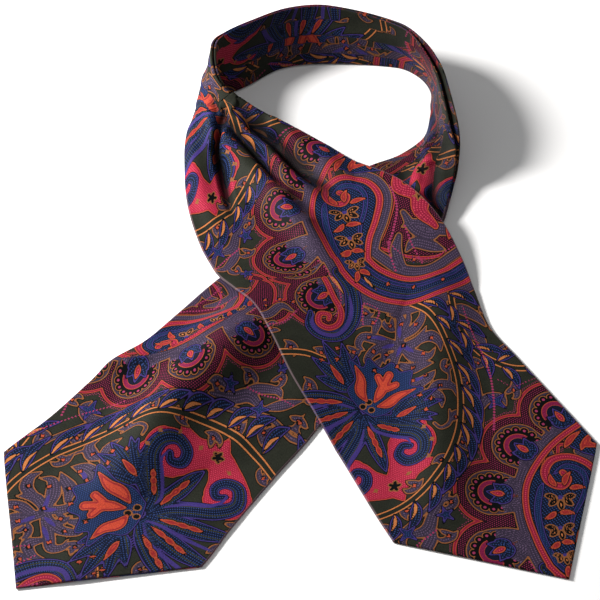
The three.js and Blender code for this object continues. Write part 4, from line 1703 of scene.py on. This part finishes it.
    def painted_shade(self, shell: Shell) -> Array:
        """Painted shade for each vertex, by how deep it lies in a trough.

        The face towards the neck gets painted shade as well, as if the loop shaded it.

        Args:
            shell: the piece's vertices.

        Returns:
            0 while shallow and 1 where deep, and NECK_SHADE more on the neck's face.
        """
        side = self.visible_side(shell.stations)
        depth = -side * self.ribbon.fold_height(shell.stations, shell.across)
        # Painted shade on the inner face along the standing loop.
        painted_neck_shade = np.where(shell.outer > 0.5, 0, NECK_SHADE * self.standing(shell.stations))
        return np.clip((depth - TROUGH_FROM) / TROUGH_DEEPENS_OVER + painted_neck_shade, 0, 1)

    @staticmethod
    def standing(at: Array) -> Array:
        """1 along the neck loop, which stands on edge, 0 on the blades."""
        return ease(500, 560, at) * ease(900, 840, at)

    @staticmethod
    def visible_side(at: Array) -> Array:
        """1 where the outer face is seen, -1 where the inner face is."""
        return np.where(at < SEEN_FACE_CHANGES_AT, 1.0, -1.0)

    def hem(self, shell: Shell) -> Array:
        """Distance from the nearer hem, which a blade has on each long edge.

        Args:
            shell: the piece's vertices.

        Returns:
            Distances in mm, 3 mm more where the cloth is pleated.
        """
        width = self.ribbon.width(shell.stations)
        distance = np.minimum(shell.across, 1 - shell.across) * width
        folded = ease(FRONT_SEAM_AT - 60, FRONT_SEAM_AT, shell.stations)
        folded = folded * ease(BACK_SEAM_AT + 60, BACK_SEAM_AT, shell.stations)
        return distance + 3 * folded

    def dress(self, piece: bpy.types.Object, shell: Shell) -> None:
        """Puts the printed silk on the piece.

        Args:
            piece: the object.
            shell: its vertices' places on the ribbon.
        """
        x, y = self.cloth_place(shell)
        inks = self.paisley.fields(x, y)
        for name, parts in (
            ("cloth", (x, y, inks["maroon"])),
            ("inks_a", (inks["lavender"], inks["navy"], inks["crimson"])),
            ("inks_b", (inks["dark"], inks["red"], inks["gold"])),
            ("inks_c", (inks["violet"], inks["blue"], inks["vine"])),
            ("rows", (inks["pearl"], inks["pearl_run"], inks["offset"])),
            ("fans", (inks["fan_reach"], inks["fan_run"], inks["run"])),
            # more: the heart ink, the painted shade, and the distance from the hem that places the
            # painted highlight.
            ("more", (inks["heart"], self.painted_shade(shell), self.hem(shell))),
        ):
            layer = piece.data.attributes.new(name, "FLOAT_VECTOR", "POINT")
            layer.data.foreach_set("vector", np.column_stack(parts).astype(np.float32).ravel())
        piece.data.materials.append(self.silk.material(self.name + "_silk"))


def point_reach(across: Array) -> Array:
    """How far the pointed end reaches past the corners, in mm."""
    return POINT_LENGTH * (1 - np.abs(2 * across - 1))


@dataclass
class FrontBlade(ClothPiece):
    """The blade that crosses over, outer face up."""

    def stations(self, along: Array, across: Array) -> Array:
        """From the point to just short of the front seam."""
        tip = FRONT_CORNER_AT - point_reach(across)
        return tip + (FRONT_SEAM_AT - SEAM_INSET - tip) * along

    def offsets(self, at: Array, across: Array, face: Face) -> Array:
        """One wall, which thickens to the band's stack where the pleats spread.

        Args:
            at: stations in mm.
            across: 0 at the low edge, 1 at the high edge.
            face: which face.

        Returns:
            Distances in mm out of the ribbon's inner face.
        """
        if face is Face.INNER:
            return np.zeros(at.shape)
        pleated = ease(FRONT_SEAM_AT - PLEATS_SPREAD_OVER, FRONT_SEAM_AT, at)
        return WALL + (STACK - WALL) * pleated

    def lift(self, at: Array, across: Array) -> Array:
        """How far the back blade carries this one where it crosses it.

        Args:
            at: stations in mm.
            across: 0 at the low edge, 1 at the high edge.

        Returns:
            Heights in mm, fading out towards the neck.
        """
        under = self.ribbon.place(at, across, np.zeros(at.shape))
        tent = self.tent_height(under[..., 0], under[..., 1])
        tent = np.where(at < CROSSING_ENDS_AT, tent, 0)
        fade = 1 - ease(CROSSING_ENDS_AT - CROSSING_FADES_OVER, CROSSING_ENDS_AT, at)
        return np.maximum(0, tent - under[..., 2]) * fade

    def tent_height(self, x: Array, y: Array) -> Array:
        """Height of a tent over the back blade.

        Args:
            x: places on the table along x, in mm.
            y: places on the table along y, in mm.

        Returns:
            The highest, over samples of the back blade, of the sample's height and the
            clearance less the slope times the distance from it.
        """
        at, across = np.meshgrid(np.arange(BACK_SEAM_AT, 1090, 3.0), np.linspace(0, 1, 47),
                                 indexing="ij")
        tops = self.ribbon.place(at, across, np.zeros(at.shape)).reshape(-1, 3)
        flat_x, flat_y = x.ravel(), y.ravel()
        height = np.zeros(x.size)
        for start in range(0, len(tops), 120):
            part = tops[start:start + 120]
            gap = np.hypot(flat_x[:, None] - part[:, 0], flat_y[:, None] - part[:, 1])
            reach = part[:, 2] + CROSSING_CLEARANCE - CROSSING_SLOPE * gap
            height = np.maximum(height, reach.max(axis=1))
        return height.reshape(x.shape)


@dataclass
class BackBlade(ClothPiece):
    """The blade that lies underneath, inner face up."""

    def stations(self, along: Array, across: Array) -> Array:
        """From just past the back seam to the point."""
        tip = BACK_CORNER_AT + point_reach(across)
        return BACK_SEAM_AT + SEAM_INSET + (tip - BACK_SEAM_AT - SEAM_INSET) * along


@dataclass
class NeckBand(ClothPiece):
    """The band's inner layer, whose high edge draws back from the outer fold.

    Attributes:
        setback: how far it draws back, as a share of the width.
        hollow: how far it leans away from the fold there, in mm.
    """

    setback: float = 0.07
    hollow: float = 1.6

    def stations(self, along: Array, across: Array) -> Array:
        """Between the two seams, just short of each."""
        return FRONT_SEAM_AT + SEAM_INSET + (BACK_SEAM_AT - FRONT_SEAM_AT - 2 * SEAM_INSET) * along

    def rim_share(self, at: Array) -> Array:
        """How much of the setback applies at a station."""
        return ease(690, 715, at) * (1 - ease(BACK_SEAM_AT - 25, BACK_SEAM_AT, at))

    def shares(self, at: Array, across: Array) -> Array:
        """The piece's width, less the setback."""
        return across * (1 - self.setback * self.rim_share(at))

    def offsets(self, at: Array, across: Array, face: Face) -> Array:
        """One wall, hollowed where the outer fold stands free."""
        away = -self.hollow * self.rim_share(at) * ease(0.5, 1, across)
        return away + (WALL if face is Face.OUTER else 0.0)


@dataclass
class NeckPleats(ClothPiece):
    """The layer behind the band, with the knife pleats as steps on its outer face.

    Attributes:
        pleats: across value of each pleat's edge, its height in mm, and the across
            distance over which it falls back.
    """

    pleats: tuple[tuple[float, float, float], ...] = ((0.2, 0.7, 0.1), (0.5, 0.9, 0.13),
                                                      (0.8, 0.7, 0.1))

    def stations(self, along: Array, across: Array) -> Array:
        """From just past the front seam to the outer fold's end."""
        return FRONT_SEAM_AT + SEAM_INSET + (OUTER_FOLD_END_AT - FRONT_SEAM_AT - SEAM_INSET) * along

    def shares(self, at: Array, across: Array) -> Array:
        """The ribbon from the outer fold's low limit upwards."""
        low = self.ribbon.outer_fold_low(at)
        return low + (1 - low) * across

    def offsets(self, at: Array, across: Array, face: Face) -> Array:
        """A wall behind the band's, which steps out at each pleat and falls back.

        Args:
            at: stations in mm.
            across: 0 at the low edge, 1 at the high edge.
            face: which face.

        Returns:
            Distances in mm out of the ribbon's inner face.
        """
        inner = WALL + self.ribbon.fold_gap(at)
        if face is Face.INNER:
            return inner
        steps = np.zeros(at.shape)
        for edge, step, depth in self.pleats:
            past = across - edge
            steps += np.where(past < 0, 0, step * np.exp(-np.maximum(past, 0) / depth))
        return inner + WALL + steps * (1 - ease(BACK_SEAM_AT - 60, BACK_SEAM_AT, at))


@dataclass(frozen=True)
class Lamp:
    """A round area light that looks at the cloth.

    Attributes:
        name: its name.
        place: where it stands, in metres.
        size: its diameter in metres.
        power: in watts.
        colour: its linear colour.
    """

    name: str
    place: tuple[float, float, float]
    size: float
    power: float
    colour: tuple[float, float, float]

    def build(self, centre: Vector) -> None:
        """Makes the light.

        Args:
            centre: where it looks, in metres.
        """
        light = bpy.data.lights.new(self.name, "AREA")
        light.shape = "DISK"
        light.size = self.size
        light.energy = self.power
        light.color = self.colour
        lamp = bpy.data.objects.new(self.name, light)
        lamp.location = self.place
        lamp.rotation_euler = (centre - Vector(self.place)).to_track_quat("-Z", "Y").to_euler()
        bpy.context.scene.collection.objects.link(lamp)


@dataclass(frozen=True)
class Studio:
    """Pale floor, soft light and the camera at the photograph's angle. Lengths in metres.

    Attributes:
        elevation: the camera's angle above the table in degrees.
        distance: from the camera to its target.
        target: what it looks at.
        lens: focal length in mm.
        floor_half: half the floor's side.
        floor_level: the floor's height, just under the cloth.
        floor_grey: the floor's linear grey.
        world: strength of the even light.
        lamps: the lights.
    """

    elevation: float = 46.0
    distance: float = 1.6
    target: tuple[float, float, float] = (-0.00055, -0.0104, 0.0)
    lens: float = 139.2
    floor_half: float = 3.0
    floor_level: float = -0.0002
    floor_grey: float = 0.9
    world: float = 0.25
    lamps: tuple[Lamp, ...] = (
        Lamp("key", (-0.9, 0.25, 0.62), 0.32, 32.0, (1.0, 0.98, 0.96)),
        Lamp("fill", (0.1, -0.9, 1.6), 1.2, 3.0, (0.97, 0.98, 1.0)),
    )

    def build(self) -> None:
        """Makes the camera, the floor and the lights."""
        self.build_camera()
        self.build_floor()
        for lamp in self.lamps:
            lamp.build(Vector(self.target))
        world = bpy.data.worlds.new("studio")
        world.use_nodes = True
        sky = world.node_tree.nodes["Background"]
        sky.inputs["Color"].default_value = (1, 1, 1, 1)
        sky.inputs["Strength"].default_value = self.world
        bpy.context.scene.world = world
        bpy.context.scene.view_settings.view_transform = "Standard"

    def build_camera(self) -> None:
        """A long lens that looks down at the target."""
        turn = math.radians(self.elevation)
        data = bpy.data.cameras.new("camera")
        data.sensor_width = 36.0
        data.lens = self.lens
        data.clip_start = 0.05
        data.clip_end = 50.0
        camera = bpy.data.objects.new("camera", data)
        away = Vector((0, -math.cos(turn), math.sin(turn)))
        camera.location = Vector(self.target) + away * self.distance
        camera.rotation_euler = (math.radians(90 - self.elevation), 0, 0)
        bpy.context.scene.collection.objects.link(camera)
        bpy.context.scene.camera = camera

    def build_floor(self) -> None:
        """A large pale sheet at table height."""
        mesh = bpy.data.meshes.new("floor")
        half, level = self.floor_half, self.floor_level
        corners = [(-half, -half, level), (half, -half, level), (half, half, level),
                   (-half, half, level)]
        mesh.from_pydata(corners, [], [(0, 1, 2, 3)])
        floor = bpy.data.objects.new("floor", mesh)
        bpy.context.scene.collection.objects.link(floor)
        material = bpy.data.materials.new("floor")
        material.use_nodes = True
        bsdf = material.node_tree.nodes["Principled BSDF"]
        bsdf.inputs["Base Color"].default_value = (*3 * [self.floor_grey], 1)
        bsdf.inputs["Roughness"].default_value = 0.9
        mesh.materials.append(material)


def main() -> None:
    """Builds the cravat and the studio."""
    logging.basicConfig(level=logging.INFO, format="%(name)s: %(message)s")
    paisley = PaisleyPrint()
    paisley.draw()
    cloth = (Ribbon(SECTIONS, FOLDS), paisley, PrintedSilk())
    Studio().build()
    pieces = [
        BackBlade("BackBlade", "back_blade", *cloth, 392, 112, (0.160, 0.469),
                  (Rim.BUTTED, Rim.ROUNDED)),
        NeckBand("NeckBand", "neck_band", *cloth, 250, 44, (0.048, 0.320),
                 (Rim.BUTTED, Rim.BUTTED)),
        NeckPleats("NeckPleats", "neck_pleats", *cloth, 300, 60, (0.052, 0.383),
                   (Rim.BUTTED, Rim.ROUNDED)),
        FrontBlade("FrontBlade", "front_blade", *cloth, 400, 112, (0.160, 0.480),
                   (Rim.ROUNDED, Rim.BUTTED), rests_on=("BackBlade",)),
    ]
    for piece in pieces:
        piece.build()


if __name__ == "__main__":
    main()
